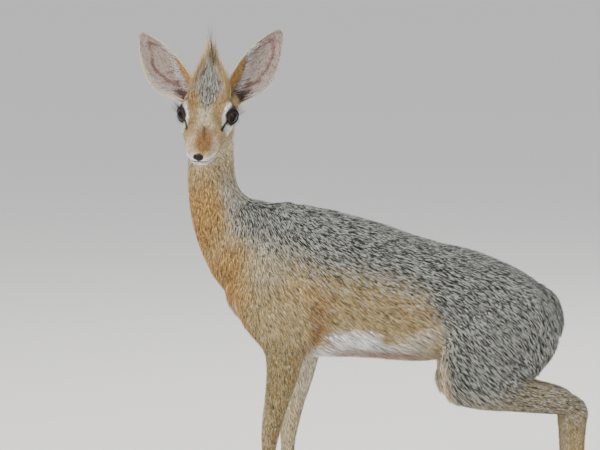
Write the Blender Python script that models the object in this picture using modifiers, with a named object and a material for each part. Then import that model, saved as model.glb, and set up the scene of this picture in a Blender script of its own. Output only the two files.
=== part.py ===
"""A life-size dik-dik, standing with bent hind legs and its head turned to its left.

The animal faces -X, its left side faces -Y, and +Z is up. The origin is on the floor, under the
middle of its box. Lofts and ovals, named for what they are on the animal, are fused into one
smooth flesh, which is then parted into head, neck, trunk and limbs with thin gaps. The outside
of the flesh is the outside of the coat. Every length is in metres.
"""

import math
import random

import bmesh
import bpy
import numpy as np
from mathutils import Matrix, Vector
from mathutils.bvhtree import BVHTree

# The gap between neighbours, the cell that forms are fused at, and the faces that are left.
GAP = 0.0003
FUSE_CELL = 0.0022
BODY_FACES = 4750
HEAD_FACES = 2700
SHARP_ANGLE = math.radians(40.0)
SIDES = {"left": -1.0, "right": 1.0}

# The colour and roughness of each finish, and the first words of the nodes that have it.
FINISHES = (
    ("grey_coat", (0.30, 0.26, 0.21), 0.95, ("torso", "hindleg_left_thigh", "hindleg_right_thigh")),
    ("tan_coat", (0.50, 0.34, 0.19), 0.95, ("head", "neck", "tail", "foreleg", "hindleg")),
    ("ear_skin", (0.66, 0.56, 0.50), 0.90, ("ear",)),
    ("wet_eye", (0.012, 0.008, 0.006), 0.06, ("eye",)),
    ("dark_horn", (0.035, 0.028, 0.024), 0.45, ("hoof", "dewclaw")),
)

# The middle of the animal's box, measured from the point on the floor under its chest.
MIDDLE_X = 0.0187
MIDDLE_Y = -0.0198

# The head: the point midway between the eyes, its pitch and roll, and the eyes.
HEAD_PLACE = Vector((-0.1610, -0.0450, 0.4890))
HEAD_PITCH = math.radians(21.0)
HEAD_ROLL = math.radians(-2.0)
EYE_RADIUS = 0.0112
EYE_SPREAD = 0.0245
GAZE_OUT = math.radians(46.0)
LID_THICKNESS = 0.0015
LID_OPENING = (0.0088, 0.0074)

# The height of the hooves, and the slope of the line where hair meets horn.
HOOF_HEIGHT = 0.0135
HOOF_SLOPE = 0.42

# Trunk sections: place along X, back, belly, level of the greatest width, half width.
TRUNK = (
    (-0.1490, 0.294, 0.280, 0.287, 0.006),
    (-0.1430, 0.316, 0.262, 0.287, 0.022),
    (-0.1280, 0.341, 0.245, 0.286, 0.033),
    (-0.1070, 0.363, 0.224, 0.283, 0.042),
    (-0.0840, 0.3835, 0.210, 0.279, 0.048),
    (-0.0600, 0.3870, 0.204, 0.275, 0.052),
    (-0.0300, 0.3790, 0.203, 0.271, 0.056),
    (0.0000, 0.3710, 0.203, 0.267, 0.059),
    (0.0350, 0.3620, 0.2015, 0.262, 0.062),
    (0.0700, 0.3500, 0.1995, 0.257, 0.063),
    (0.1050, 0.3400, 0.202, 0.255, 0.061),
    (0.1400, 0.3325, 0.212, 0.256, 0.057),
    (0.1750, 0.3200, 0.222, 0.258, 0.051),
    (0.2050, 0.3050, 0.224, 0.255, 0.045),
    (0.2270, 0.2870, 0.220, 0.247, 0.036),
    (0.2400, 0.2700, 0.218, 0.241, 0.025),
    (0.2460, 0.2520, 0.230, 0.240, 0.008),
)

# Neck sections from the shoulders up: centre, half depth, half width.
NECK = (
    (-0.0850, 0.000, 0.312, 0.062, 0.040),
    (-0.1160, 0.000, 0.332, 0.060, 0.038),
    (-0.1390, 0.000, 0.354, 0.0480, 0.0335),
    (-0.1530, -0.001, 0.374, 0.0370, 0.0290),
    (-0.1610, -0.003, 0.398, 0.0300, 0.0265),
    (-0.1630, -0.006, 0.426, 0.0275, 0.0250),
    (-0.1620, -0.011, 0.452, 0.0265, 0.0240),
    (-0.1615, -0.017, 0.476, 0.0250, 0.0220),
    (-0.1610, -0.022, 0.492, 0.0220, 0.0180),
)

# Head sections from the nape to the nose tip, in the head's own axes: place along the muzzle,
# top, underside, level of the greatest width, half width.
HEAD = (
    (-0.0520, 0.008, -0.004, 0.002, 0.005),
    (-0.0470, 0.021, -0.020, 0.003, 0.015),
    (-0.0360, 0.0310, -0.034, 0.004, 0.0235),
    (-0.0200, 0.0350, -0.042, 0.003, 0.0275),
    (-0.0050, 0.0300, -0.043, 0.000, 0.0285),
    (0.0080, 0.0205, -0.042, -0.009, 0.0272),
    (0.0200, 0.0122, -0.0410, -0.015, 0.0252),
    (0.0320, 0.0052, -0.0392, -0.020, 0.0228),
    (0.0440, -0.0010, -0.0378, -0.0225, 0.0202),
    (0.0540, -0.0062, -0.0370, -0.0236, 0.0176),
    (0.0620, -0.0100, -0.0362, -0.0240, 0.0150),
    (0.0685, -0.0128, -0.0334, -0.0232, 0.0122),
    (0.0722, -0.0155, -0.0286, -0.0218, 0.0088),
    (0.0740, -0.0195, -0.0245, -0.0218, 0.0040),
)

# Soft lumps on each side of the head: centre (out, along, up), half sizes.
HEAD_LUMPS = {
    "jaw": ((0.0164, -0.009, -0.024), (0.0132, 0.027, 0.0200)),
    "brow": ((0.0165, -0.003, 0.0085), (0.0150, 0.019, 0.0095)),
    "cheek": ((0.0176, 0.014, -0.0140), (0.0100, 0.025, 0.0120)),
    "nostril": ((0.0056, 0.0672, -0.0186), (0.0060, 0.0062, 0.0058)),
    "lip": ((0.0086, 0.0570, -0.0215), (0.0088, 0.0120, 0.0060)),
    "socket": ((EYE_SPREAD - 0.003, -0.001, -0.0005), (0.0146, 0.0146, 0.0140)),
    "ear_root": ((0.0225, -0.0320, 0.0000), (0.0105, 0.0125, 0.0130)),
}

# Limb chains from the body down: centre (X, out from the middle, Z), half depth, half width.
SHOULDER = (
    (-0.060, 0.022, 0.356, 0.018, 0.014),
    (-0.082, 0.029, 0.314, 0.036, 0.021),
    (-0.098, 0.033, 0.270, 0.034, 0.021),
    (-0.074, 0.038, 0.232, 0.030, 0.019),
)
FRONT_LEG = (
    (-0.0700, 0.037, 0.226, 0.0285, 0.0190),
    (-0.0730, 0.036, 0.1990, 0.0222, 0.0165),
    (-0.0770, 0.035, 0.174, 0.0180, 0.0148),
    (-0.0830, 0.034, 0.1486, 0.0143, 0.0126),
    (-0.0878, 0.033, 0.125, 0.0122, 0.0122),
    (-0.0903, 0.033, 0.1075, 0.0100, 0.0100),
    (-0.0915, 0.033, 0.0934, 0.0084, 0.0084),
    (-0.0950, 0.033, 0.0580, 0.0078, 0.0078),
    (-0.0970, 0.033, 0.0440, 0.0098, 0.0102),
    (-0.1035, 0.033, 0.0285, 0.0088, 0.0104),
    (-0.1085, 0.033, 0.0140, 0.0104, 0.0112),
    (-0.1105, 0.033, 0.0060, 0.0104, 0.0112),
)
HAUNCH = (
    (0.162, 0.022, 0.284, 0.044, 0.022),
    (0.173, 0.033, 0.252, 0.068, 0.030),
    (0.161, 0.039, 0.218, 0.054, 0.028),
    (0.142, 0.043, 0.190, 0.037, 0.024),
)
HAMSTRING = (
    (0.216, 0.018, 0.262, 0.022, 0.018),
    (0.223, 0.028, 0.232, 0.026, 0.021),
    (0.208, 0.037, 0.206, 0.024, 0.020),
)
HIND_LEG = (
    (0.1360, 0.044, 0.182, 0.0290, 0.0220),
    (0.1620, 0.043, 0.174, 0.0260, 0.0200),
    (0.1960, 0.041, 0.167, 0.0205, 0.0165),
    (0.2320, 0.039, 0.161, 0.0165, 0.0135),
    (0.2580, 0.038, 0.157, 0.0140, 0.0120),
    (0.2695, 0.037, 0.150, 0.0125, 0.0112),
    (0.2700, 0.037, 0.134, 0.0115, 0.0108),
    (0.2700, 0.037, 0.116, 0.0096, 0.0096),
    (0.2700, 0.036, 0.090, 0.0086, 0.0084),
    (0.2650, 0.036, 0.058, 0.0082, 0.0082),
    (0.2630, 0.036, 0.044, 0.0102, 0.0104),
    (0.2560, 0.036, 0.0285, 0.0090, 0.0104),
    (0.2510, 0.036, 0.0140, 0.0104, 0.0112),
    (0.2490, 0.036, 0.0060, 0.0104, 0.0112),
)
# How far each leg stands along X from its table.
FRONT_STEP = {"left": 0.0, "right": 0.0175}
HIND_STEP = {"left": 0.0, "right": -0.0200}

TAIL = (
    (0.2200, 0.000, 0.2860, 0.0080, 0.0100),
    (0.2325, 0.000, 0.2770, 0.0080, 0.0105),
    (0.2405, 0.000, 0.2650, 0.0070, 0.0100),
    (0.2450, 0.000, 0.2510, 0.0058, 0.0080),
    (0.2465, 0.000, 0.2400, 0.0030, 0.0040),
)

# Each ear, in shares of its length: half width outside and inside, depth of the cup, and half
# the angle through which its edge is rolled. The lengths run from the root to the tip.
EAR_THICKNESS = 0.0016
EAR_TABLE = (
    (0.000, 0.0105, 0.0105, 0.0120, 2.45),
    (0.100, 0.0150, 0.0132, 0.0140, 2.10),
    (0.200, 0.0210, 0.0158, 0.0154, 1.80),
    (0.320, 0.0268, 0.0175, 0.0155, 1.58),
    (0.450, 0.0282, 0.0182, 0.0142, 1.44),
    (0.600, 0.0258, 0.0174, 0.0112, 1.34),
    (0.760, 0.0195, 0.0140, 0.0076, 1.25),
    (0.900, 0.0112, 0.0086, 0.0040, 1.20),
    (0.975, 0.0048, 0.0040, 0.0015, 1.20),
)
EAR_ROOT = (0.0222, -0.0300, 0.0035)
EAR_SPREAD = {"left": 0.97, "right": 1.08}
EAR_TIP = {"left": (0.0797, -0.0489, 0.0884), "right": (0.0830, -0.0472, 0.0775)}
EAR_STEPS = 14
EAR_TURNS = 10

# Points near the line of the mouth, from its corner to the middle of the upper lip, near the
# nostril, and near the two ends of the gland's slit before the eye, on the head's left.
MOUTH_LINE = (
    (0.0190, 0.0420, -0.0262),
    (0.0172, 0.0520, -0.0266),
    (0.0138, 0.0610, -0.0270),
    (0.0070, 0.0695, -0.0272),
    (0.0000, 0.0725, -0.0266),
)
MOUTH_GROOVE = 0.0011
NOSTRIL = (0.0046, 0.0740, -0.0200)
NOSTRIL_SIZE = (0.0030, 0.0040, 0.0014)
NOSTRIL_TILT = math.radians(35.0)
GLAND = ((0.0236, 0.0175, -0.0030), (0.0206, 0.0285, -0.0060))
GLAND_WIDTH = 0.0011
GLAND_DEPTH = 0.0020

# The crest: how many locks, the longest, how deep their roots sit, and where they grow.
LOCKS = 32
LOCK_LENGTH = 0.064
LOCK_HALF = 0.0044
LOCK_DEPTH = 0.0012
LOCK_BOW = 0.0032
CREST_SUNK = 0.002
CREST_MIDDLE = (0.0, -0.0160, 0.0300)
CREST_HALF = (0.0225, 0.0170)
CREST_DROP = 0.0100
CREST_LEAN = 0.25
CREST_SEED = 5

# The dewclaws behind each fetlock: which row of its leg that is, their place from it, and size.
FETLOCK = {"front": 8, "hind": 10}
DEWCLAW = (0.0095, 0.0048, -0.0060)
DEWCLAW_SIZE = (0.0052, 0.0030, 0.0036)

# Each claw of a hoof: its outline as reach along X and share of its width, and its rings as
# share of its height, spread of the outline and shift along X.
CLAW_GAP = 0.0004
CLAW_WIDTH = 0.0108
CLAW_TAPER = 0.20
CLAW_OUTLINE = (
    (0.0105, 0.05), (0.0110, 0.55), (0.0075, 0.97), (0.0000, 1.00), (-0.0070, 0.86),
    (-0.0125, 0.58), (-0.0165, 0.22), (-0.0175, 0.04), (-0.0120, 0.00), (0.0040, 0.00),
)
CLAW_RINGS = ((0.0, 1.0, 0.0), (0.30, 1.0, 0.0009), (0.70, 0.93, 0.0024), (1.0, 0.84, 0.0042))

# Outlines of the blocks that part the flesh, drawn on its side (X, Z) or its front (Y, Z), and
# how far they reach the other way.
FAR = 0.30
INNER = 0.003
OUTER = 0.100
HEAD_BLOCK = ((-0.200, 0.3340), (0.100, 0.5070), (0.100, 0.700), (-0.200, 0.700))
HEAD_SPAN = (-FAR, -0.05)
NECK_BLOCK = (
    (-0.2000, 0.2770), (-0.0620, 0.4770), (-0.0620, 0.700), (-0.300, 0.700), (-0.300, 0.2770),
)
KNEE_LEVEL = 0.1060
HOCK_LEVEL = 0.1360
FOREARM_BLOCK = ((0.003, 0.050), (0.100, 0.050), (0.100, 0.2560), (0.016, 0.2030), (0.003, 0.1950))
FOREARM_SPAN = (-0.1300, -0.0380)
FORE_CANNON_SPAN = (-0.1900, -0.0380)
HIND_CANNON_SPAN = (0.1800, 0.3400)
FOOT_SPAN = (-0.040, 0.030)
SHANK_BLOCK = ((0.168, 0.050), (0.320, 0.050), (0.320, 0.1860), (0.210, 0.1900), (0.168, 0.1300))
THIGH_BLOCK = (
    (0.080, 0.050), (0.270, 0.050), (0.270, 0.262), (0.215, 0.296), (0.168, 0.302), (0.110, 0.256),
    (0.080, 0.2000),
)
THIGH_SPAN = (0.016, 0.100)
# The share of a hind leg's step that its haunch, its hamstring and the top of the thigh take.
HAUNCH_SHARE = 0.8


def clear_scene():
    for obj in list(bpy.data.objects):
        bpy.data.objects.remove(obj)


def new_collection(name):
    collection = bpy.data.collections.new(name)
    bpy.context.scene.collection.children.link(collection)
    return collection


def new_material(name, colour, roughness):
    """A Principled material of one colour, with nothing of metal in it."""
    material = bpy.data.materials.new(name)
    material.use_nodes = True
    shader = material.node_tree.nodes["Principled BSDF"]
    shader.inputs["Base Color"].default_value = (*colour, 1.0)
    shader.inputs["Roughness"].default_value = roughness
    shader.inputs["Metallic"].default_value = 0.0
    return material


def new_object(name, shape, collection):
    """The bmesh shape as an object, with its faces turned outwards."""
    bmesh.ops.recalc_face_normals(shape, faces=shape.faces)
    mesh = bpy.data.meshes.new(name)
    shape.to_mesh(mesh)
    shape.free()
    obj = bpy.data.objects.new(name, mesh)
    collection.objects.link(obj)
    return obj


def head_axes():
    """The head's own axes: out to its left, along the muzzle, and up."""
    out = Vector((1.0, 0.0, 0.0))
    along = Vector((0.0, -math.cos(HEAD_PITCH), -math.sin(HEAD_PITCH)))
    up = Vector((0.0, -math.sin(HEAD_PITCH), math.cos(HEAD_PITCH)))
    roll = Matrix.Rotation(HEAD_ROLL, 3, along)
    return roll @ out, along, roll @ up


def on_head(place):
    """A point given as out, along and up from between the eyes, in the animal's frame."""
    out, along, up = head_axes()
    return HEAD_PLACE + out * place[0] + along * place[1] + up * place[2]


def smooth_table(table, steps):
    """The rows of a table joined by a smooth curve, as many more rows."""
    rows = np.array(table)
    ends = np.vstack([2 * rows[0] - rows[1], rows, 2 * rows[-1] - rows[-2]])
    found = []
    for a, b, c, d in zip(ends, ends[1:], ends[2:], ends[3:]):
        for t in np.arange(steps) / steps:
            bend = t * (2 * a - 5 * b + 4 * c - d + t * (3 * (b - c) + d - a))
            found.append(b + 0.5 * t * (c - a + bend))
    return np.vstack([found, rows[-1]])


def add_loft(shape, rings):
    """Rings of as many points each, joined by quads and closed at both ends."""
    loops = [[shape.verts.new(point) for point in ring] for ring in rings]
    for low, high in zip(loops, loops[1:]):
        for k in range(len(low)):
            j = (k + 1) % len(low)
            shape.faces.new((low[k], low[j], high[j], high[k]))
    shape.faces.new(loops[0])
    shape.faces.new(loops[-1])


def oval(centre, across, rise, half, top, foot, sides):
    """A ring round a centre, half wide along across, and top or foot high along rise."""
    ring = []
    for k in range(sides):
        turn = 2.0 * math.pi * k / sides
        height = math.sin(turn) * (top if math.sin(turn) > 0 else foot)
        ring.append(centre + across * (half * math.cos(turn)) + rise * height)
    return ring


def add_sections(shape, table, place, across, rise, sides=32):
    """A loft of upright oval sections. place gives the point for a reach and a level."""
    rings = []
    for reach, top, foot, level, half in smooth_table(table, 4):
        half = max(half, 0.002)
        rings.append(
            oval(place(reach, level), across, rise, half, top - level, level - foot, sides)
        )
    add_loft(shape, rings)


def add_chain(shape, chain, side=1.0, step=(0.0, 0.0), sides=20):
    """A limb: oval sections square to its run, with round ends. step moves its ends along X."""
    rows = smooth_table(chain, 4)
    rows[:, 0] += np.linspace(step[0], step[1], len(rows))
    rows[:, 1] *= side
    runs = np.gradient(rows[:, :3], axis=0)
    rings = []
    for number, (row, run) in enumerate(zip(rows, runs)):
        centre, run = Vector(row[:3]), Vector(run).normalized()
        across = Vector((0.0, 1.0, 0.0))
        depth = across.cross(run).normalized()
        turns = (0.0,)
        if number == 0:
            turns = (-1.4, -1.0, -0.5, 0.0)
        if number == len(rows) - 1:
            turns = (0.0, 0.5, 1.0, 1.4)
        for turn in turns:
            shrink = math.cos(turn)
            middle = centre + run * (row[4] * math.sin(turn))
            deep = row[3] * shrink
            rings.append(oval(middle, across, depth, row[4] * shrink, deep, deep, sides))
    add_loft(shape, rings)


def add_ball(shape, centre, axes, sizes, segments=24):
    """An oval ball with its half sizes along the three axes."""
    turn = Matrix([axis * size for axis, size in zip(axes, sizes)]).transposed().to_4x4()
    bmesh.ops.create_uvsphere(
        shape,
        u_segments=segments,
        v_segments=segments // 2,
        radius=1.0,
        matrix=Matrix.Translation(centre) @ turn,
    )


def flesh_shape():
    """Every overlapping form of the body, before they are fused."""
    shape = bmesh.new()
    side_axis, up_axis = Vector((0.0, 1.0, 0.0)), Vector((0.0, 0.0, 1.0))
    add_sections(shape, TRUNK, lambda x, z: Vector((x, 0.0, z)), side_axis, up_axis)
    add_chain(shape, NECK, sides=28)
    out, along, up = head_axes()
    add_sections(shape, HEAD, lambda reach, level: on_head((0.0, reach, level)), out, up)
    for centre, sizes in HEAD_LUMPS.values():
        for side in SIDES.values():
            place = on_head((side * centre[0], centre[1], centre[2]))
            add_ball(shape, place, (out, along, up), sizes)
    for name, side in SIDES.items():
        fore, hind = FRONT_STEP[name], HIND_STEP[name]
        add_chain(shape, SHOULDER, side, (0.0, 0.4 * fore))
        add_chain(shape, FRONT_LEG, side, (0.5 * fore, fore))
        add_chain(shape, HAUNCH, side, (0.0, HAUNCH_SHARE * hind))
        add_chain(shape, HAMSTRING, side, (0.0, HAUNCH_SHARE * hind))
        add_chain(shape, HIND_LEG, side, (hind, hind))
    return shape


def evaluated(obj):
    """Replace the object's mesh by what its modifiers make of it."""
    graph = bpy.context.evaluated_depsgraph_get()
    mesh = bpy.data.meshes.new_from_object(obj.evaluated_get(graph))
    obj.modifiers.clear()
    obj.data = mesh
    return obj


def weigh(obj, name, weight_of):
    """A vertex group whose weight is a function of the vertex's place."""
    group = obj.vertex_groups.new(name=name)
    for vertex in obj.data.vertices:
        weight = weight_of(vertex.co)
        if weight > 0.0:
            group.add([vertex.index], weight, "REPLACE")
    return group


def is_head(point):
    return point.z > 0.40 and (point - HEAD_PLACE).dot(head_axes()[1]) > -0.056


def smoothing_weight(point):
    """Strong on the trunk, so that the limbs melt into it, and faint on the thin parts."""
    if is_head(point):
        return 0.30
    if point.z < 0.15:
        return 0.12
    if point.z < 0.20:
        return 0.12 + 0.88 * (point.z - 0.15) / 0.05
    return 1.0


def covers_head(point):
    return 1.0 if is_head(point) else 0.0


def covers_body(point):
    return 0.0 if is_head(point) else 1.0


def decimate(obj, faces, group):
    """Bring the object down to a number of faces, taking them only where the group lies."""
    thin = obj.modifiers.new("thin", "DECIMATE")
    thin.ratio = faces / (2 * len(obj.data.polygons))
    thin.vertex_group = group
    thin.vertex_group_factor = 1.0
    thin.use_collapse_triangulate = True
    evaluated(obj)


def fused_flesh(collection):
    """The forms fused into one skin, smoothed where they join, and made light."""
    flesh = new_object("flesh", flesh_shape(), collection)
    fuse = flesh.modifiers.new("fuse", "REMESH")
    fuse.mode = "VOXEL"
    fuse.voxel_size = FUSE_CELL
    evaluated(flesh)
    weigh(flesh, "soft", smoothing_weight)
    soften = flesh.modifiers.new("soften", "SMOOTH")
    soften.factor = 0.5
    soften.iterations = 50
    soften.vertex_group = "soft"
    evaluated(flesh)
    dense = sum(is_head(face.center) for face in flesh.data.polygons) * 2
    weigh(flesh, "on_body", covers_body)
    decimate(flesh, BODY_FACES + dense, "on_body")
    weigh(flesh, "on_head", covers_head)
    decimate(flesh, 2 * (BODY_FACES + HEAD_FACES), "on_head")
    return flesh


def boolean(obj, other, operation):
    """Cut the object by another, or join or cross it with it."""
    step = obj.modifiers.new("step", "BOOLEAN")
    step.operation = operation
    step.object = other
    evaluated(obj)


def largest_body(obj):
    """Keep only the largest closed surface of the object."""
    shape = bmesh.new()
    shape.from_mesh(obj.data)
    left = set(shape.verts)
    bodies = []
    while left:
        queue = [left.pop()]
        body = set(queue)
        while queue:
            vert = queue.pop()
            for edge in vert.link_edges:
                other = edge.other_vert(vert)
                if other in left:
                    left.remove(other)
                    body.add(other)
                    queue.append(other)
        bodies.append(body)
    bodies.sort(key=len)
    for body in bodies[:-1]:
        bmesh.ops.delete(shape, geom=list(body), context="VERTS")
    shape.to_mesh(obj.data)
    shape.free()
    return obj


def prism(name, outline, low, high, front, collection):
    """A block with an outline on the animal's side, or on its front, between two bounds."""
    shape = bmesh.new()
    rings = []
    for bound in (low, high):
        if front:
            rings.append([Vector((bound, a, b)) for a, b in outline])
        else:
            rings.append([Vector((a, bound, b)) for a, b in outline])
    add_loft(shape, rings)
    block = new_object(name, shape, collection)
    block.hide_render = True
    block.display_type = "WIRE"
    return block


def copy_of(obj, name, collection):
    twin = obj.copy()
    twin.data = obj.data.copy()
    twin.name = name
    collection.objects.link(twin)
    return twin


def grown(block, collection):
    """A copy of a block with each face moved out by the gap."""
    twin = copy_of(block, "grown", collection)
    shape = bmesh.new()
    shape.from_mesh(twin.data)
    shape.normal_update()
    moves = []
    for vert in shape.verts:
        rows = Matrix([face.normal for face in vert.link_faces])
        moves.append(rows.inverted() @ Vector((GAP, GAP, GAP)))
    for vert, move in zip(shape.verts, moves):
        vert.co += move
    shape.to_mesh(twin.data)
    shape.free()
    return twin


def part_off(flesh, name, block, tools, animal):
    """Take what lies in the block out of the flesh as a node of its own, with a gap between."""
    node = copy_of(flesh, name, animal)
    boolean(node, block, "INTERSECT")
    largest_body(node)
    wide = grown(block, tools)
    boolean(flesh, wide, "DIFFERENCE")
    largest_body(flesh)
    bpy.data.objects.remove(wide)
    bpy.data.objects.remove(block)
    return node


def mirrored(outline, side):
    return tuple((side * a, b) for a, b in outline)


def moved(outline, step):
    return tuple((a + step, b) for a, b in outline)


def coronet(reach):
    """The height at which hair meets horn, reach behind the foot's middle."""
    return HOOF_HEIGHT - HOOF_SLOPE * reach


def trim_feet(flesh, tools):
    """Cut each leg off at the line where hair meets horn."""
    under = -0.05
    for chain, steps in ((FRONT_LEG, FRONT_STEP), (HIND_LEG, HIND_STEP)):
        for name, side in SIDES.items():
            middle = chain[-2][0] + steps[name]
            back, front = FOOT_SPAN
            outline = (
                (middle + back, coronet(back)),
                (middle + front, coronet(front)),
                (middle + front, under),
                (middle + back, under),
            )
            block = prism("foot", outline, side * INNER, side * OUTER, False, tools)
            boolean(flesh, block, "DIFFERENCE")
            bpy.data.objects.remove(block)


def below(level, side):
    """The outline of a block round one leg, from under the floor up to a level."""
    under = -0.05
    return (
        (side * INNER, under), (side * OUTER, under), (side * OUTER, level), (side * INNER, level),
    )


def part_flesh(flesh, tools, animal):
    """Head, neck and the lengths of each leg, taken off the trunk from their ends inwards."""
    nodes = {}

    def take(name, outline, span, front=False):
        block = prism(name + "_block", outline, *span, front, tools)
        nodes[name] = part_off(flesh, name, block, tools, animal)

    trim_feet(flesh, tools)
    take("head", HEAD_BLOCK, HEAD_SPAN, True)
    take("neck", NECK_BLOCK, (-FAR, FAR))
    for name, side in SIDES.items():
        fore, hind = FRONT_STEP[name], HIND_STEP[name]
        low, high = FORE_CANNON_SPAN
        take(f"foreleg_{name}_cannon", below(KNEE_LEVEL, side), (low, high + fore), True)
        low, high = FOREARM_SPAN
        take(f"foreleg_{name}_forearm", mirrored(FOREARM_BLOCK, side), (low, high + fore), True)
        take(f"hindleg_{name}_cannon", below(HOCK_LEVEL, side), HIND_CANNON_SPAN, True)
        span = (side * INNER, side * OUTER)
        take(f"hindleg_{name}_shank", moved(SHANK_BLOCK, hind), span)
        span = (side * THIGH_SPAN[0], side * THIGH_SPAN[1])
        take(f"hindleg_{name}_thigh", moved(THIGH_BLOCK, HAUNCH_SHARE * hind), span)
    return nodes


def eye_axes(side):
    """The axes of an eye: out of the socket, level along the lids, and up."""
    out, along, up = head_axes()
    gaze = out * (side * math.sin(GAZE_OUT)) + along * math.cos(GAZE_OUT)
    level = out * (-side * math.cos(GAZE_OUT)) + along * math.sin(GAZE_OUT)
    return gaze, level, up


def ball_object(name, centre, axes, sizes, collection, segments=20):
    shape = bmesh.new()
    add_ball(shape, centre, axes, sizes, segments)
    return new_object(name, shape, collection)


def open_eyes(head, collection):
    """Lids round each eye, with an almond opening, over a socket that holds the eyeball."""
    for side in (-1.0, 1.0):
        gaze, level, up = eye_axes(side)
        centre = on_head((side * EYE_SPREAD, 0.0, 0.0))
        lids = EYE_RADIUS + LID_THICKNESS
        for name, sizes, place, work in (
            ("lid_ball", (lids, lids, lids), centre, "UNION"),
            ("socket", (EYE_RADIUS + GAP,) * 3, centre, "DIFFERENCE"),
            ("opening", (0.012, *LID_OPENING), centre + gaze * EYE_RADIUS, "DIFFERENCE"),
        ):
            tool = ball_object(name, place, (gaze, level, up), sizes, collection)
            boolean(head, tool, work)
            bpy.data.objects.remove(tool)


def groove(name, points, radius, collection):
    """A thin round cutter along a smooth line through the points."""
    curve = bpy.data.curves.new(name, "CURVE")
    curve.dimensions = "3D"
    spline = curve.splines.new("POLY")
    rows = smooth_table([tuple(point) for point in points], 4)
    spline.points.add(len(rows) - 1)
    for point, row in zip(spline.points, rows):
        point.co = (*row, 1.0)
    curve.bevel_depth = radius
    curve.bevel_resolution = 1
    curve.use_fill_caps = True
    line = bpy.data.objects.new(name + "_line", curve)
    collection.objects.link(line)
    graph = bpy.context.evaluated_depsgraph_get()
    mesh = bpy.data.meshes.new_from_object(line.evaluated_get(graph))
    shape = bmesh.new()
    shape.from_mesh(mesh)
    bmesh.ops.remove_doubles(shape, verts=shape.verts, dist=1e-6)
    bpy.data.objects.remove(line)
    return new_object(name, shape, collection)


def cut_away(obj, cutter):
    """Cut the object by a cutter that is needed only once."""
    boolean(obj, cutter, "DIFFERENCE")
    bpy.data.objects.remove(cutter)


def cut_snout(head, collection):
    """The line of the mouth, the nostrils and the glands' slits, each laid on the head's skin."""
    mesh = head.data
    skin = BVHTree.FromPolygons(
        [vert.co for vert in mesh.vertices], [face.vertices for face in mesh.polygons]
    )

    def on_skin(place, side=1.0):
        return skin.find_nearest(on_head((side * place[0], place[1], place[2])))[0]

    line = [on_skin(place, -1.0) for place in MOUTH_LINE[:-1]]
    line += [on_skin(place) for place in MOUTH_LINE[::-1]]
    cutters = [groove("mouth", line, MOUTH_GROOVE, collection)]
    out, along, up = head_axes()
    for side in (-1.0, 1.0):
        wide = out * side * math.cos(NOSTRIL_TILT) + up * math.sin(NOSTRIL_TILT)
        axes = (wide, along, wide.cross(along))
        cutters.append(
            ball_object("nostril", on_skin(NOSTRIL, side), axes, NOSTRIL_SIZE, collection, 12)
        )
        low, high = (on_skin(place, side) for place in GLAND)
        run = (high - low).normalized()
        across = run.cross(out).normalized()
        axes = (across.cross(run), run, across)
        sizes = (GLAND_DEPTH, (high - low).length / 2, GLAND_WIDTH)
        cutters.append(ball_object("slit", (low + high) / 2, axes, sizes, collection, 12))
    for cutter in cutters:
        cut_away(head, cutter)


def lock_shape(root, tip, bow, half_width, thickness):
    """A flat lock of hair from root to tip, bowed sideways, widest low down and thin at its tip."""
    run = tip - root
    across = run.cross(bow).normalized()
    rings = []
    for share, wide in ((0.0, 0.7), (0.35, 1.0), (0.7, 0.65), (0.93, 0.25)):
        centre = root + run * share + bow * (4.0 * share * (1.0 - share))
        flat = bow.normalized() * (thickness * (1.0 - 0.6 * share))
        half = across * half_width * wide
        rings.append((centre - half, centre - flat, centre + half, centre + flat))
    shape = bmesh.new()
    loops = [[shape.verts.new(point) for point in ring] for ring in rings]
    for low, high in zip(loops, loops[1:]):
        for k in range(4):
            j = (k + 1) % 4
            shape.faces.new((low[k], low[j], high[j], high[k]))
    end = shape.verts.new(tip)
    for k in range(4):
        shape.faces.new((loops[-1][k], loops[-1][(k + 1) % 4], end))
    shape.faces.new(loops[0])
    return shape


def grow_crest(head):
    """The crest: flat locks on the crown that lean together into one upright tuft."""
    random.seed(CREST_SEED)
    locks = new_collection("locks")
    out, along, up = head_axes()
    golden_turn = math.pi * (3.0 - math.sqrt(5.0))
    for number in range(LOCKS):
        reach = math.sqrt((number + 0.5) / LOCKS)
        side = math.cos(number * golden_turn) * reach
        fore = math.sin(number * golden_turn) * reach
        rise = CREST_MIDDLE[2] - CREST_DROP * reach * reach
        root = on_head((side * CREST_HALF[0], CREST_MIDDLE[1] + fore * CREST_HALF[1], rise))
        height = LOCK_LENGTH * (1.0 - 0.60 * reach) * random.uniform(0.85, 1.10)
        lean = out * (side * -CREST_LEAN) + along * (fore * -0.05 - 0.10) + up
        tip = root + lean.normalized() * height
        bow = (out * side + along * (fore + 0.15)).normalized() * LOCK_BOW
        sunk = root - lean.normalized() * CREST_SUNK
        half = LOCK_HALF * random.uniform(0.75, 1.05)
        shape = lock_shape(sunk, tip, bow, half, LOCK_DEPTH)
        new_object(f"lock_{number}", shape, locks)
    step = head.modifiers.new("crest", "BOOLEAN")
    step.operation = "UNION"
    step.operand_type = "COLLECTION"
    step.collection = locks
    evaluated(head)
    for lock in list(locks.objects):
        bpy.data.objects.remove(lock)
    largest_body(head)


def ear_point(side, root, tip, spread, share, turn):
    """A point of an ear's middle surface: share from root to tip, turn from edge to edge."""
    table = np.array(EAR_TABLE)
    outside, inside, depth, roll = (np.interp(share, table[:, 0], table[:, k]) for k in (1, 2, 3, 4))
    run = (tip - root).normalized()
    outward = run.cross(head_axes()[1]).normalized() * -side
    fore = run.cross(outward).normalized() * side
    half = inside if turn > 0 else outside * spread
    sideways = half * math.sin(turn * roll) / math.sin(min(roll, math.pi / 2.0))
    sunk = depth * (1.0 - math.cos(turn * roll)) / (1.0 - math.cos(roll))
    return root.lerp(tip, share) + outward * sideways + fore * (sunk - depth)


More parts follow.
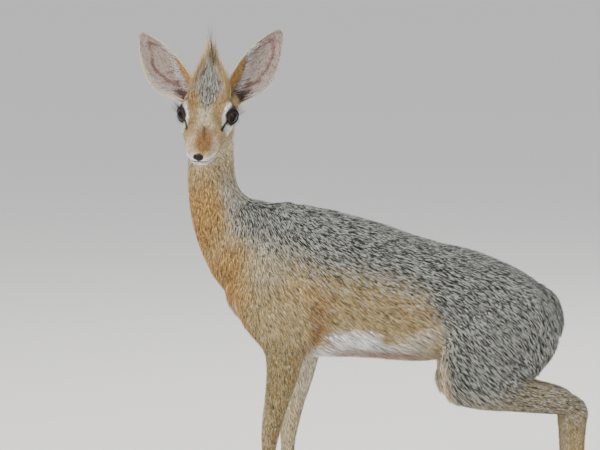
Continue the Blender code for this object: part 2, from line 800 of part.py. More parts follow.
def ear_object(name, side, collection):
    """A cupped ear: one curved face of triangles, thickened to both sides alike."""
    shape = bmesh.new()
    root, tip = (on_head((side * place[0], place[1], place[2])) for place in (EAR_ROOT, EAR_TIP[name]))
    grid = []
    for step in range(EAR_STEPS + 1):
        share = EAR_TABLE[-1][0] * step / EAR_STEPS
        turns = [2.0 * k / EAR_TURNS - 1.0 for k in range(EAR_TURNS + 1)]
        row = [ear_point(side, root, tip, EAR_SPREAD[name], share, turn) for turn in turns]
        grid.append([shape.verts.new(point) for point in row])
    end = shape.verts.new(tip)
    for k in range(EAR_TURNS):
        for low, high in zip(grid, grid[1:]):
            shape.faces.new((low[k], low[k + 1], high[k + 1]))
            shape.faces.new((low[k], high[k + 1], high[k]))
        shape.faces.new((grid[-1][k], grid[-1][k + 1], end))
    ear = new_object("ear_" + name, shape, collection)
    wall = ear.modifiers.new("wall", "SOLIDIFY")
    wall.thickness = EAR_THICKNESS
    wall.offset = 0.0
    wall.use_even_offset = True
    return evaluated(ear)


def swollen(obj, collection):
    """A copy of the object with its faces moved out by the gap."""
    twin = copy_of(obj, "swollen", collection)
    swell = twin.modifiers.new("swell", "DISPLACE")
    swell.strength = GAP
    swell.mid_level = 0.0
    return evaluated(twin)


def clear_of(obj, other, collection):
    """Cut the object back to a gap from the other, and keep what stands outside."""
    wide = swollen(other, collection)
    boolean(obj, wide, "DIFFERENCE")
    bpy.data.objects.remove(wide)
    return largest_body(obj)


def hoof_object(name, middle, side, collection):
    """One claw: a pointed sole on the floor, a sloping front wall, and a flat inner side."""
    rings = []
    for rise, spread, shift in CLAW_RINGS:
        ring = []
        for reach, wide in CLAW_OUTLINE:
            x = reach * (1.0 - CLAW_TAPER * rise) + shift
            y = side * (CLAW_GAP + wide * CLAW_WIDTH * spread)
            ring.append(Vector((middle.x + x, middle.y + y, (coronet(x) - GAP) * rise)))
        rings.append(ring)
    shape = bmesh.new()
    add_loft(shape, rings)
    return new_object(name, shape, collection)


def dewclaw_object(name, fetlock, side, collection):
    """The small claw behind a fetlock, which points down and back."""
    centre = fetlock + Vector((DEWCLAW[0], side * DEWCLAW[1], DEWCLAW[2]))
    back = Vector((0.80, 0.0, -0.60))
    sideways = Vector((0.0, 1.0, 0.0))
    axes = (back, sideways, sideways.cross(back) * -1.0)
    return ball_object(name, centre, axes, DEWCLAW_SIZE, collection, 8)


def add_feet(legs, tools, animal):
    """Two claws and two dewclaws on each foot."""
    nodes = []
    for end, limb, chain, steps in (
        ("front", "foreleg", FRONT_LEG, FRONT_STEP),
        ("hind", "hindleg", HIND_LEG, HIND_STEP),
    ):
        for name, side in SIDES.items():
            leg = legs[f"{limb}_{name}_cannon"]
            places = []
            for row in (chain[-2], chain[FETLOCK[end]]):
                places.append(Vector((row[0] + steps[name], side * row[1], row[2])))
            for claw, claw_side in (("outer", side), ("inner", -side)):
                label = f"{end}_{name}_{claw}"
                nodes.append(hoof_object("hoof_" + label, places[0], claw_side, animal))
                dewclaw = dewclaw_object("dewclaw_" + label, places[1], claw_side, animal)
                nodes.append(clear_of(dewclaw, leg, tools))
    return nodes


def add_head_pieces(head, tools, animal):
    """The eyes in their sockets, and the ears, cut clear of the head."""
    nodes = []
    for name, side in (("left", 1.0), ("right", -1.0)):
        centre = on_head((side * EYE_SPREAD, 0.0, 0.0))
        nodes.append(ball_object("eye_" + name, centre, eye_axes(side), (EYE_RADIUS,) * 3, animal))
        nodes.append(clear_of(ear_object(name, side, animal), head, tools))
    return nodes


def add_tail(torso, tools, animal):
    shape = bmesh.new()
    add_chain(shape, TAIL, sides=10)
    return clear_of(new_object("tail", shape, animal), torso, tools)


def settle(node):
    """Bring the origin under the middle of the animal's box, and split the faces in triangles."""
    shape = bmesh.new()
    shape.from_mesh(node.data)
    bmesh.ops.translate(shape, vec=(-MIDDLE_X, -MIDDLE_Y, 0.0), verts=shape.verts)
    bmesh.ops.triangulate(shape, faces=shape.faces)
    shape.to_mesh(node.data)
    shape.free()
    node.data.shade_smooth()
    node.data.set_sharp_from_angle(angle=SHARP_ANGLE)


def finish(nodes):
    """Give each node the material of the first finish that names it."""
    for name, colour, roughness, starts in FINISHES:
        material = new_material(name, colour, roughness)
        for node in nodes:
            if not node.data.materials and node.name.startswith(starts):
                node.data.materials.append(material)


def main():
    clear_scene()
    tools = new_collection("tools")
    animal = new_collection("dik_dik")
    torso = fused_flesh(tools)
    parted = part_flesh(torso, tools, animal)
    torso.name = "torso"
    tools.objects.unlink(torso)
    animal.objects.link(torso)
    head = parted["head"]
    cut_snout(head, tools)
    grow_crest(head)
    open_eyes(head, tools)
    nodes = [torso, *parted.values(), add_tail(torso, tools, animal)]
    nodes += add_head_pieces(head, tools, animal)
    nodes += add_feet(parted, tools, animal)
    for node in nodes:
        settle(node)
    finish(nodes)


main()
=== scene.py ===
"""A life-size dik-dik as a museum shows it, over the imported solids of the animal.

The trunk faces -X and its left side faces -Y, with the head turned to look along -Y. The head has
axes of its own: out to its left, along the muzzle, and up. Every length is in metres.
"""

import math

import bmesh
import bpy
import numpy as np
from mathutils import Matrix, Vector, noise
from mathutils.bvhtree import BVHTree
from mathutils.kdtree import KDTree


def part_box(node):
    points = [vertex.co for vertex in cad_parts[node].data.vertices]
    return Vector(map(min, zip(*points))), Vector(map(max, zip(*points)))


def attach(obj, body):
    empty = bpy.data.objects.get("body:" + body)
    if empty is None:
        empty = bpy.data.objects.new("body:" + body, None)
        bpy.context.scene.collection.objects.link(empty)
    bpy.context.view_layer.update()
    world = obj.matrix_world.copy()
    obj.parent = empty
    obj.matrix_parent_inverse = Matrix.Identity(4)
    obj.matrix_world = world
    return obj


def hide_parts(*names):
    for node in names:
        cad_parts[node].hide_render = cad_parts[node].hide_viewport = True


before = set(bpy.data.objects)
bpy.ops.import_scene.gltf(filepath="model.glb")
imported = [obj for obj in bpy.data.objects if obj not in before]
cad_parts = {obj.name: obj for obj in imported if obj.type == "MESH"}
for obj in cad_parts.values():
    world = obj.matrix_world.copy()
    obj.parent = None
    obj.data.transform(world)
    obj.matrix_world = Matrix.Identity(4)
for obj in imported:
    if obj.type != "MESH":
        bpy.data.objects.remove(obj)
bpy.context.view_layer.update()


# The floor: one plain pale disc, wide enough to reach past the edges of the view. It isn't part of
# the animal, which stands on it by its claws alone.
floor_radius = 60.0
floor_sides = 96


def mesh_from(shape, name):
    """The bmesh shape, used up, as a mesh."""
    mesh = bpy.data.meshes.new(name)
    shape.to_mesh(mesh)
    shape.free()
    return mesh


def placed(name, data):
    """A new object in the scene with this mesh, camera or light."""
    made = bpy.data.objects.new(name, data)
    bpy.context.scene.collection.objects.link(made)
    return made


def new_material(name, colour=None, roughness=0.5, specular=0.5):
    """A material, its nodes and its Principled shader."""
    material = bpy.data.materials.new(name)
    material.use_nodes = True
    shader = material.node_tree.nodes["Principled BSDF"]
    if colour:
        shader.inputs["Base Color"].default_value = (*colour, 1.0)
    shader.inputs["Roughness"].default_value = roughness
    shader.inputs["Specular IOR Level"].default_value = specular
    return material, material.node_tree, shader


disc = bmesh.new()
bmesh.ops.create_circle(disc, cap_ends=True, segments=floor_sides, radius=floor_radius)
floor = placed("floor", mesh_from(disc, "floor"))
floor.data.materials.append(new_material("floor_paint", (0.84, 0.825, 0.80), 0.9)[0])


# The camera: a long lens eight metres off, a little behind square to the animal's left side and
# above it. The frame shows the animal at 1.17 mm a pixel and cuts its feet off.
view_azimuth = math.radians(8.0)
view_elevation = math.radians(5.0)
view_distance = 8.0
pixels_across = 600
metres_a_pixel = 0.00117
frame_width = pixels_across * metres_a_pixel
view_target = Vector((-0.0809, 0.0425, 0.3555))

towards_camera = Vector((
    math.sin(view_azimuth) * math.cos(view_elevation),
    -math.cos(view_azimuth) * math.cos(view_elevation),
    math.sin(view_elevation),
))
camera_data = bpy.data.cameras.new("camera")
camera_data.lens = camera_data.sensor_width * view_distance / frame_width
camera_data.clip_end = 150.0
camera = placed("camera", camera_data)
camera.location = view_target + towards_camera * view_distance
camera.rotation_euler = towards_camera.to_track_quat("Z", "Y").to_euler()
bpy.context.scene.camera = camera


# Studio light: a broad soft source high on the left of the view, a weaker one on its right, one
# from behind that edges the back and the crest, and an even pale surround.
studio_lights = (
    ("key_light", (-1.7, -2.3, 2.3), 1.7, 155.0, (1.0, 0.97, 0.93)),
    ("fill_light", (2.4, -2.2, 1.0), 2.2, 46.0, (0.93, 0.96, 1.0)),
    ("back_light", (0.9, 2.0, 2.4), 1.4, 56.0, (1.0, 0.98, 0.95)),
)
light_aim = Vector((-0.05, 0.0, 0.32))
for name, place, size, watts, colour in studio_lights:
    light = bpy.data.lights.new(name, "AREA")
    light.size = size
    light.energy = watts
    light.color = colour
    lamp = placed(name, light)
    lamp.location = place
    lamp.rotation_euler = (lamp.location - light_aim).to_track_quat("Z", "Y").to_euler()
surround = bpy.data.worlds.new("surround")
surround.use_nodes = True
surround_light = surround.node_tree.nodes["Background"].inputs
surround_light["Color"].default_value = (0.95, 0.97, 1.0, 1.0)
surround_light["Strength"].default_value = 0.78
bpy.context.scene.world = surround


# The skin: one unbroken hide from muzzle to tail and down to the hooves, drawn over the form. It
# is fused from the solids of flesh, whose gaps it closes, and lies in by the depth of the coat.
legs = [
    f"{limb}_{side}_{length}"
    for side in ("left", "right")
    for limb, lengths in (("foreleg", ("forearm", "cannon")), ("hindleg", ("thigh", "shank", "cannon")))
    for length in lengths
]
flesh_nodes = ["torso", "neck", "head", "tail", "ear_left", "ear_right"] + legs
swell = 0.0004
skin_cell = 0.0012
body_share = 0.13

# The head's own axes, from its two eyes and the pitch of the muzzle.
head_pitch = math.radians(21.0)
eye_centres = {side: sum(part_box("eye_" + side), Vector()) / 2 for side in ("left", "right")}
eye_radius = (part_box("eye_left")[1].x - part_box("eye_left")[0].x) / 2
head_middle = (eye_centres["left"] + eye_centres["right"]) / 2
head_out = (eye_centres["left"] - eye_centres["right"]).normalized()
head_along = Vector((0.0, -math.cos(head_pitch), -math.sin(head_pitch)))
head_up = head_along.cross(head_out).normalized()
head_axes = np.array((head_out, head_along, head_up))


def on_head(out, along, up):
    return head_middle + head_out * out + head_along * along + head_up * up


# Each eye looks out to its side, and its lids leave an almond of this half width and half height.
gaze_out = math.radians(46.0)
gaze_up = math.radians(2.0)
lid_half = (0.0095, 0.0079)
eye_axes = {}
for name, turned in (("left", 1.0), ("right", -1.0)):
    gaze = (head_out * (turned * math.sin(gaze_out)) + head_along * math.cos(gaze_out)).normalized()
    gaze = (gaze + head_up * math.tan(gaze_up)).normalized()
    eye_side = head_up.cross(gaze).normalized() * turned
    eye_axes[name] = (eye_side, (gaze.cross(eye_side) * turned).normalized(), gaze)


def applied(piece):
    """Turn what the piece's modifiers make into its mesh."""
    graph = bpy.context.evaluated_depsgraph_get()
    mesh = bpy.data.meshes.new_from_object(piece.evaluated_get(graph))
    piece.modifiers.clear()
    piece.data = mesh
    return piece


def drop(piece):
    bpy.data.objects.remove(piece)


def welded(name):
    """The solid of a node as a bmesh with its corners joined."""
    shape = bmesh.new()
    shape.from_mesh(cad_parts[name].data)
    bmesh.ops.remove_doubles(shape, verts=shape.verts, dist=0.000001)
    return shape


def bridge(shape, rows, closed=False):
    """Faces between each two rows of corners, all the way round where the rows are rings."""
    for low, high in zip(rows, rows[1:]):
        for k in range(len(low) if closed else len(low) - 1):
            turn = (k + 1) % len(low)
            shape.faces.new((low[k], low[turn], high[turn], high[k]))


# Above the crown the solid head carries the crest, which this dome-shaped cutter takes off. The
# tops and half widths of the dome go with the places along the head.
dome_along = (-0.046, -0.036, -0.020, -0.005, 0.008)
dome_tops = (0.024, 0.0315, 0.0350, 0.0303, 0.0212)
dome_halves = (0.017, 0.0240, 0.0285, 0.0292, 0.0280)
dome_level = 0.003
dome_reach = 0.0255
dome_steps = 12
dome_height = 0.12
flattest = 0.05
dome = bmesh.new()
dome_rows = []
for along in np.linspace(dome_along[0], dome_along[-1], dome_steps):
    top, half = (np.interp(along, dome_along, values) for values in (dome_tops, dome_halves))
    row = []
    for out in np.linspace(-dome_reach, dome_reach, dome_steps):
        up = dome_level + (top - dome_level) * math.sqrt(max(flattest, 1.0 - (out / half) ** 2))
        row.append(dome.verts.new(on_head(out, along, up)))
    dome_rows.append(row)
bridge(dome, dome_rows)
pulled = bmesh.ops.extrude_face_region(dome, geom=list(dome.faces))
raised = [item for item in pulled["geom"] if isinstance(item, bmesh.types.BMVert)]
bmesh.ops.translate(dome, vec=head_up * dome_height, verts=raised)
bmesh.ops.recalc_face_normals(dome, faces=dome.faces)
crest_cutter = placed("crest_cutter", mesh_from(dome, "crest_cutter"))

form = bmesh.new()
for name in flesh_nodes + ["eye_left", "eye_right"]:
    part_mesh = mesh_from(welded(name), name + "_form")
    if name == "head":
        bare_head = placed("bare_head", part_mesh)
        trim = bare_head.modifiers.new("trim", "BOOLEAN")
        trim.operation = "DIFFERENCE"
        trim.object = crest_cutter
        part_mesh = applied(bare_head).data
        drop(bare_head)
    part = bmesh.new()
    part.from_mesh(part_mesh)
    part.normal_update()
    for vert, normal in [(vert, vert.normal.copy()) for vert in part.verts]:
        vert.co += normal * swell
    part.to_mesh(part_mesh)
    part.free()
    form.from_mesh(part_mesh)
drop(crest_cutter)
skin = placed("skin", mesh_from(form, "skin"))
fuse = skin.modifiers.new("fuse", "REMESH")
fuse.mode = "VOXEL"
fuse.voxel_size = skin_cell
fuse.use_smooth_shade = True
applied(skin)


def points_of(mesh):
    places = np.empty(len(mesh.vertices) * 3)
    mesh.vertices.foreach_get("co", places)
    return places.reshape(-1, 3)


def fade(value, low, high):
    """From 0 at low to 1 at high, smoothly."""
    share = np.clip((value - low) / (high - low), 0.0, 1.0)
    return share * share * (3.0 - 2.0 * share)


def head_places(places):
    """The places as out, along and up from the middle of the head."""
    return (places - np.array(head_middle)) @ head_axes.T


def head_weight(places):
    """1 on the head and ears, 0 on the body."""
    local = head_places(places)
    return fade(local[:, 1] * 0.35 + local[:, 2], -0.060, -0.045) * fade(places[:, 2], 0.42, 0.44)


places = points_of(skin.data)
on_body = 1.0 - head_weight(places)
head_share = 0.25
for group_name, weights in (("all_over", head_share + (1.0 - head_share) * on_body), ("on_body", on_body)):
    group = skin.vertex_groups.new(name=group_name)
    for level in np.unique(np.round(weights, 1)):
        chosen = np.flatnonzero(np.round(weights, 1) == level)
        group.add(chosen.tolist(), float(level), "REPLACE")
relax = skin.modifiers.new("relax", "SMOOTH")
relax.factor = 0.5
relax.iterations = 8
relax.vertex_group = "all_over"
thin = skin.modifiers.new("thin", "DECIMATE")
head_faces = int((1.0 - on_body).sum() * 2)
all_faces = 2 * len(skin.data.polygons)
thin.ratio = (head_faces + body_share * (all_faces - head_faces)) / all_faces
thin.vertex_group = "on_body"
thin.vertex_group_factor = 10.0
applied(skin)
skin.vertex_groups.clear()


def normals_of(mesh):
    normals = np.empty(len(mesh.vertices) * 3)
    mesh.vertex_normals.foreach_get("vector", normals)
    return normals.reshape(-1, 3)


# How the coat lies, how long it is and how deep the skin sits under it, for each point of the
# skin. Each value starts from the part of the body that is nearest and is then evened out.
coat_of = {
    "torso": ((1.00, 0.0, -0.60), 0.0105, 0.0030),
    "neck": ((0.20, 0.0, -1.00), 0.0090, 0.0024),
    "head": ((0.0, 1.0, 0.10), 0.0042, 0.0012),
    "tail": ((0.40, 0.0, -1.00), 0.0110, 0.0018),
    "ear_left": ((0.56, 0.18, 0.81), 0.0036, 0.0003),
    "ear_right": ((-0.58, 0.18, 0.79), 0.0036, 0.0003),
    "forearm": ((0.10, 0.0, -1.00), 0.0062, 0.0014),
    "cannon": ((0.02, 0.0, -1.00), 0.0042, 0.0007),
    "thigh": ((0.72, 0.0, -0.70), 0.0105, 0.0030),
    "shank": ((1.00, 0.0, -0.28), 0.0072, 0.0016),
}
evening_rounds = 24

nearest = KDTree(sum(len(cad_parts[name].data.vertices) for name in flesh_nodes))
owners = []
for number, name in enumerate(flesh_nodes):
    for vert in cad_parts[name].data.vertices:
        nearest.insert(vert.co, len(owners))
        owners.append(number)
nearest.balance()
places = points_of(skin.data)
owner = np.array([owners[nearest.find(place)[1]] for place in places])
kinds = [name if name in coat_of else name.split("_")[-1] for name in flesh_nodes]
lie = np.array([coat_of[kind][0] for kind in kinds], float)[owner]
fur_length = np.array([coat_of[kind][1] for kind in kinds])[owner]
coat_depth = np.array([coat_of[kind][2] for kind in kinds])[owner]
node_is = {name: owner == number for number, name in enumerate(flesh_nodes)}
thighs = [number for number, name in enumerate(flesh_nodes) if name.endswith("thigh")]

local = head_places(places)
out, along, up = local.T
x, y, z = places.T

# On the head the hair runs back from the nose, over the brow into the crest, round the eyes and
# down the cheeks and the throat.
on_head_now = node_is["head"]
flow = np.stack([out * 4.0, -np.ones_like(out), 0.20 + up * 6.0], axis=1)
crown = fade(along, 0.012, -0.010) * fade(up, 0.012, 0.026)
flow += crown[:, None] * np.stack([-out * 12.0, np.full_like(out, 0.2), np.full_like(out, 2.2)], axis=1)
throat = fade(along, 0.020, -0.010) * fade(up, -0.020, -0.034)
flow += throat[:, None] * np.array((0.0, 0.3, -1.6))
for name, centre in eye_centres.items():
    away = local - head_places(np.array(centre)[None, :])
    far = np.linalg.norm(away, axis=1)
    near_eye = fade(far, 0.021, 0.013)
    flow += near_eye[:, None] * away / far[:, None] * 0.9
lie[on_head_now] = (flow @ head_axes)[on_head_now]

# On the shoulder and the brisket it runs down, and on the belly straight back.
shoulder = node_is["torso"] * fade(x, -0.030, -0.080)
lie += shoulder[:, None] * np.array((-0.3, 0.0, -0.4))
brisket = node_is["torso"] * fade(x, -0.100, -0.150)
lie += brisket[:, None] * np.array((-0.7, 0.0, -0.9))
under = node_is["torso"] * fade(z, 0.235, 0.215) * fade(x, -0.10, -0.06)
lie += under[:, None] * np.array((0.4, 0.0, 0.42))

# Behind the ears it runs down to the nape, and on the rump straight down.
poll = on_head_now * fade(along, -0.016, -0.032) * fade(up, 0.018, 0.004)
lie += poll[:, None] * np.array((0.0, 0.0, -2.2))
normals = normals_of(skin.data)
rearward = (node_is["torso"] + np.isin(owner, thighs)) * fade(normals[:, 0], 0.25, 0.65)
lie = lie * (1.0 - rearward)[:, None] + rearward[:, None] * np.array((0.0, 0.0, -1.0))

# The face has the shortest hair, the forehead and the cheeks longer.
snout = fade(along, 0.020, 0.050)
fur_length[on_head_now] = (0.0046 - 0.0023 * snout)[on_head_now]
forehead = fade(along, 0.022, -0.004) * fade(up, 0.010, 0.022)
fur_length += on_head_now * forehead * 0.0034
fur_length += on_head_now * fade(along, 0.012, -0.012) * fade(up, 0.0, -0.020) * 0.0030
coat_depth += on_head_now * (forehead * 0.0006 - snout * 0.0005)

# Over the withers the coat lies close, and in the hollow before them it fills out.
middle_y = sum(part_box("tail"), Vector()).y / 2
withers = np.linalg.norm(places - (-0.073, middle_y, 0.388), axis=1)
hollow = np.linalg.norm(places - (-0.103, middle_y, 0.385), axis=1)
coat_depth += 0.0034 * fade(withers, 0.026, 0.006) - 0.0027 * fade(hollow, 0.024, 0.008)
before_withers = fade(np.linalg.norm(places - (-0.094, middle_y, 0.387), axis=1), 0.022, 0.009)

mesh = skin.data
links = np.empty(len(mesh.edges) * 2, int)
mesh.edges.foreach_get("vertices", links)
links = links.reshape(-1, 2)
neighbours = np.bincount(links.ravel(), minlength=len(places)) + 1


def evened(values, rounds):
    """Each point's value averaged with its neighbours' over and over."""
    for _ in range(rounds):
        total = values.copy()
        for near, far in ((0, 1), (1, 0)):
            for k in range(values.shape[1]):
                total[:, k] += np.bincount(links[:, near], values[links[:, far], k], len(values))
        values = total / neighbours[:, None]
    return values


lie = evened(lie / np.linalg.norm(lie, axis=1)[:, None], evening_rounds)
fur_length, coat_depth = evened(np.stack([fur_length, coat_depth], axis=1), evening_rounds // 2).T

normals = normals_of(mesh)
inwards = evened(normals * (coat_depth + swell)[:, None], 2)
places = places - inwards
mesh.vertices.foreach_set("co", places.ravel())
mesh.update()
normals = normals_of(mesh)
lie -= normals * (lie * normals).sum(axis=1)[:, None]
lie /= np.maximum(np.linalg.norm(lie, axis=1), 0.000001)[:, None]
local = head_places(places)
out, along, up = local.T
x, y, z = places.T


def keep_on_skin(name, values, kind="FLOAT", domain="POINT"):
    """Store a value for each point or face of the skin, or one for all, under a name."""
    if isinstance(values, float):
        values = np.full(len(places), values)
    layer = mesh.attributes.new(name, kind, domain)
    key = {"FLOAT": "value", "INT": "value", "FLOAT_VECTOR": "vector", "FLOAT_COLOR": "color"}[kind]
    layer.data.foreach_set(key, np.ascontiguousarray(values).ravel())


keep_on_skin("lie", lie, "FLOAT_VECTOR")

skin.select_set(True)
bpy.context.view_layer.objects.active = skin
bpy.ops.object.mode_set(mode="EDIT")
bpy.ops.mesh.select_all(action="SELECT")
bpy.ops.uv.smart_project(angle_limit=math.radians(66.0), island_margin=0.002)
bpy.ops.object.mode_set(mode="OBJECT")
mesh = skin.data
mesh.uv_layers[0].name = "OFBake"


# The markings, worked out once for each point of the skin, so that skin and coat carry the same
# ones: the colour of the hair, how grizzled it is, how close it stands, and the skin's own colour.
fawn = (0.50, 0.365, 0.170)
pale_tan = (0.57, 0.415, 0.215)
orange_tan = (0.56, 0.325, 0.110)
rufous = (0.43, 0.262, 0.10)
cream = (0.86, 0.74, 0.50)
white = (0.97, 0.97, 0.94)
olive = (0.41, 0.295, 0.110)
grey = (0.155, 0.165, 0.155)
silver = (0.78, 0.78, 0.68)
brown = (0.33, 0.155, 0.040)
sandy = (0.66, 0.51, 0.26)
black = (0.012, 0.010, 0.010)
pastern_brown = (0.10, 0.075, 0.055)
stripe_brown = (0.08, 0.045, 0.025)
kite_tan = (0.52, 0.47, 0.35)
hollow_shade_brown = (0.06, 0.035, 0.03)
velvet_tan = (0.48, 0.43, 0.38)
belly_skin = (0.36, 0.21, 0.135)
ear_skin = (0.31, 0.245, 0.215)
ear_furrow_shade = (0.15, 0.07, 0.052)

mottle = np.array([noise.noise(Vector(place) * 60.0) for place in places])
fine_mottle = np.array([noise.noise(Vector(place) * 240.0) for place in places])
coat = np.tile(fawn, (len(places), 1))


def paint(colour, share):
    """Lay a colour over the coat, by a share for each point."""
    global coat
    share = np.clip(share, 0.0, 1.0)[:, None]
    coat = coat * (1.0 - share) + np.array(colour) * share


def within(*names):
    """1 on the skin over the nodes whose names end so, evened out towards their neighbours."""
    found = np.zeros(len(places))
    for name in flesh_nodes:
        if name.endswith(names):
            found += node_is[name]
    return evened(found[:, None], 12)[:, 0]


def from_line(points, ends):
    """The distance of each of the points from a line drawn through the ends."""
    found = np.full(len(points), 1.0)
    for start, end in zip(ends, ends[1:]):
        start, end = np.array(start), np.array(end)
        run = end - start
        share = np.clip((points - start) @ run / (run @ run), 0.0, 1.0)
        found = np.minimum(found, np.linalg.norm(points - start - share[:, None] * run, axis=1))
    return found


trunk, ears = within("torso", "thigh"), within("ear_left", "ear_right")
torso, thigh, neck, head, forearm, cannon, shank, tail = (
    within(name) for name in ("torso", "thigh", "neck", "head", "forearm", "cannon", "shank", "tail")
)
aside = np.abs(y - middle_y)
inner_leg = fade(aside, 0.036, 0.026)

# Grey grizzle covers the back, the flanks down to this line, the haunches and the nape.
grey_line = np.interp(
    x, (-0.165, -0.127, -0.042, 0.035, 0.084, 0.110), (0.365, 0.336, 0.305, 0.292, 0.275, 0.150),
)
grizzle = trunk * (0.42 + 0.58 * fade(z - grey_line + mottle * 0.010, -0.034, 0.030))
neck_middle = np.interp(z, (0.354, 0.374, 0.398, 0.426, 0.452), (-0.158, -0.172, -0.180, -0.182, -0.181))
nape = fade(x - neck_middle, -0.004, 0.024) * (0.08 + 0.82 * fade(z + 0.012 * mottle, 0.470, 0.385))
grizzle += neck * (0.05 + 0.85 * nape)
grizzle += forearm * 0.50 + shank * 0.65 + cannon * 0.40 + tail * 0.70

paint(olive, forearm * 0.65 + cannon * 0.35)
paint(grey, trunk * fade(z - grey_line, -0.010, 0.040) + 0.5 * shank + tail)
paint(silver, neck * nape * 0.75)
paint(silver, trunk * fade(x, -0.075, -0.110) * fade(np.abs(z - grey_line + 0.010), 0.045, 0.015) * 0.5)
paint(pale_tan, neck * fade(z, 0.400, 0.450) * (1.0 - nape))
paint(sandy, trunk * fade(x, -0.040, -0.075) * fade(grey_line - z, -0.035, 0.020) * 0.6)
paint(orange_tan, neck * fade(z, 0.430, 0.395) * (1.0 - nape) * 0.9)
brisket = trunk * fade(x, -0.118, -0.150) * fade(z, 0.36, 0.33)
paint(orange_tan, brisket * 0.85)
behind_shoulder = np.hypot((x + 0.070) / 0.030, (z - 0.288) / 0.026)
paint(orange_tan, trunk * fade(behind_shoulder + 0.3 * mottle, 1.1, 0.4) * 0.45)
grizzle *= 1.0 - 0.7 * brisket
flattened = places * (1.0, 0.62, 1.0)
chest_line = ((-0.142, 0.272), (-0.132, 0.246), (-0.104, 0.206))
chest_gap = from_line(flattened, [(ahead, middle_y * 0.62, level) for ahead, level in chest_line])
chest_white = fade(chest_gap + 0.008 * mottle, 0.020, 0.008) * fade(z + 0.010 * mottle, 0.285, 0.262)
belly_line = 0.006 * mottle + np.interp(
    x, (-0.07, -0.03, 0.01, 0.03, 0.055, 0.09), (0.222, 0.246, 0.242, 0.226, 0.238, 0.252),
)
belly_white = torso * fade(z, 0.004 + belly_line, belly_line - 0.008) * fade(x, -0.085, -0.055)
paint(white, belly_white * (1.0 - 0.45 * fade(x + mottle * 0.01, 0.005, 0.022)))
bare_belly = torso * fade(aside, 0.046, 0.036) * fade(x, -0.055, -0.030) * fade(z, 0.226, 0.214)
paint(belly_skin, bare_belly * fade(x, 0.080, 0.060) * 0.8)
paint(white, chest_white)
for start, end in (
    ((-0.050, middle_y - 0.050, 0.224), (-0.058, middle_y - 0.045, 0.212)),
    ((-0.045, middle_y + 0.050, 0.224), (-0.050, middle_y + 0.045, 0.212)),
):
    paint(rufous, fade(from_line(places, (start, end)), 0.020, 0.008) * 0.8)
# Painted shade: a brown line down the crease behind the foreleg.
crease_shade = fade(np.abs(x + 0.053 - 0.20 * (z - 0.250)) + 0.006 * mottle, 0.0120, 0.0030)
crease_shade *= trunk * fade(z, 0.295, 0.268) * fade(z, 0.218, 0.232)
paint(brown, crease_shade * 0.85)
faces_in = fade(normals[:, 1] * np.sign(middle_y - y), 0.15, 0.60)
paint(white, forearm * inner_leg * fade(z + 0.02 * mottle, 0.110, 0.205) * 0.85)
inner_thigh = thigh * faces_in
paint(cream, inner_thigh * fade(x + 0.02 * mottle, 0.195, 0.120) * 0.85)
paint(white, inner_thigh * fade(z, 0.130, 0.200) * fade(z + 0.02 * mottle, 0.285, 0.240) * 0.6)
paint(cream, (cannon + shank + forearm) * inner_leg * 0.6)
paint(cream, forearm * fade(x, -0.105, -0.118) * fade(z, 0.19, 0.15) * 0.5)
paint(cream, thigh * fade(x, 0.118, 0.098) * fade(z, 0.270, 0.235) * 0.7)
rump_gap = from_line(places, ((0.205, middle_y, 0.238), (0.212, middle_y, 0.200))) + 0.006 * mottle
rump = fade(rump_gap, 0.026, 0.008) * fade(normals[:, 0], 0.35, 0.75) * fade(z, 0.240, 0.220)
rump *= 1.0 - tail
paint(white, np.maximum(rump, torso * fade(x, 0.09, 0.12) * fade(z, 0.235, 0.220)))
paint(pastern_brown, cannon * fade(z, 0.030, 0.018) * 0.7)
inner_leg = np.maximum(forearm * inner_leg, inner_thigh + shank * faces_in)
pale_places = np.maximum.reduce([belly_white, chest_white, rump, bare_belly, inner_leg * 0.7])
grizzle *= 1.0 - 0.9 * np.clip(pale_places, 0.0, 1.0)

# The face: a grizzled kite on the forehead between rufous bands, a pale middle, a brown snout
# with a dark stripe, white round the eyes and on the lips, and a black slit before each eye.
mirrored = np.stack([np.abs(out), along, up], axis=1)
face_line = np.interp(along, (-0.02, 0.01, 0.03, 0.05, 0.07), (0.010, 0.002, -0.009, -0.017, -0.022))
top_side = fade(up - face_line, -0.003, 0.005)
cheek = head * (1.0 - top_side)
paint(pale_tan, head)
paint(cream, cheek * fade(up, -0.022, -0.034) * 0.6)
paint(rufous, head * top_side * fade(along, 0.038, 0.026) * (0.62 + 0.5 * mottle))
pale_middle = head * fade(np.abs(out - 0.0015) + mottle * 0.004, 0.0125, 0.003) * fade(along, 0.006, 0.022)
paint(cream, pale_middle * fade(along, 0.046, 0.032) * 0.95)
snout_half = np.interp(along, (0.032, 0.044, 0.056, 0.066, 0.072), (0.004, 0.0095, 0.0110, 0.0085, 0.004))
snout_half -= (mottle + fine_mottle) * 0.0016
snout_top = head * fade(along, 0.028, 0.048) * fade(up, -0.0215, -0.0185)
snout_top *= fade(np.abs(out - 0.0030) - snout_half, 0.0044, -0.0044)
paint(brown, snout_top * (0.80 + 0.35 * fine_mottle))
paint(cream, head * fade(along, 0.038, 0.048) * (1.0 - snout_top) * 0.7)
stripe = from_line(local, ((0.0020, 0.040, 0.001), (0.0036, 0.056, -0.006)))
stripe = fade(stripe + fine_mottle * 0.0010, 0.0034, 0.0008)
paint(stripe_brown, stripe * head * 0.8)
kite_half = np.interp(
    along, (-0.032, -0.024, -0.014, -0.004, 0.006, 0.020), (-0.004, 0.008, 0.0150, 0.0160, 0.0095, 0.0),
)
kite = head * fade(up, 0.002, 0.009)
kite *= fade(np.abs(out - 0.001) - kite_half + (mottle + fine_mottle) * 0.002, 0.0036, -0.0030)
paint(kite_tan, kite * 0.8)
eye_streak = from_line(mirrored, (
    (0.0290, 0.000, 0.0165), (0.0235, 0.010, 0.0085), (0.0190, 0.018, -0.002), (0.0175, 0.026, -0.010),
))
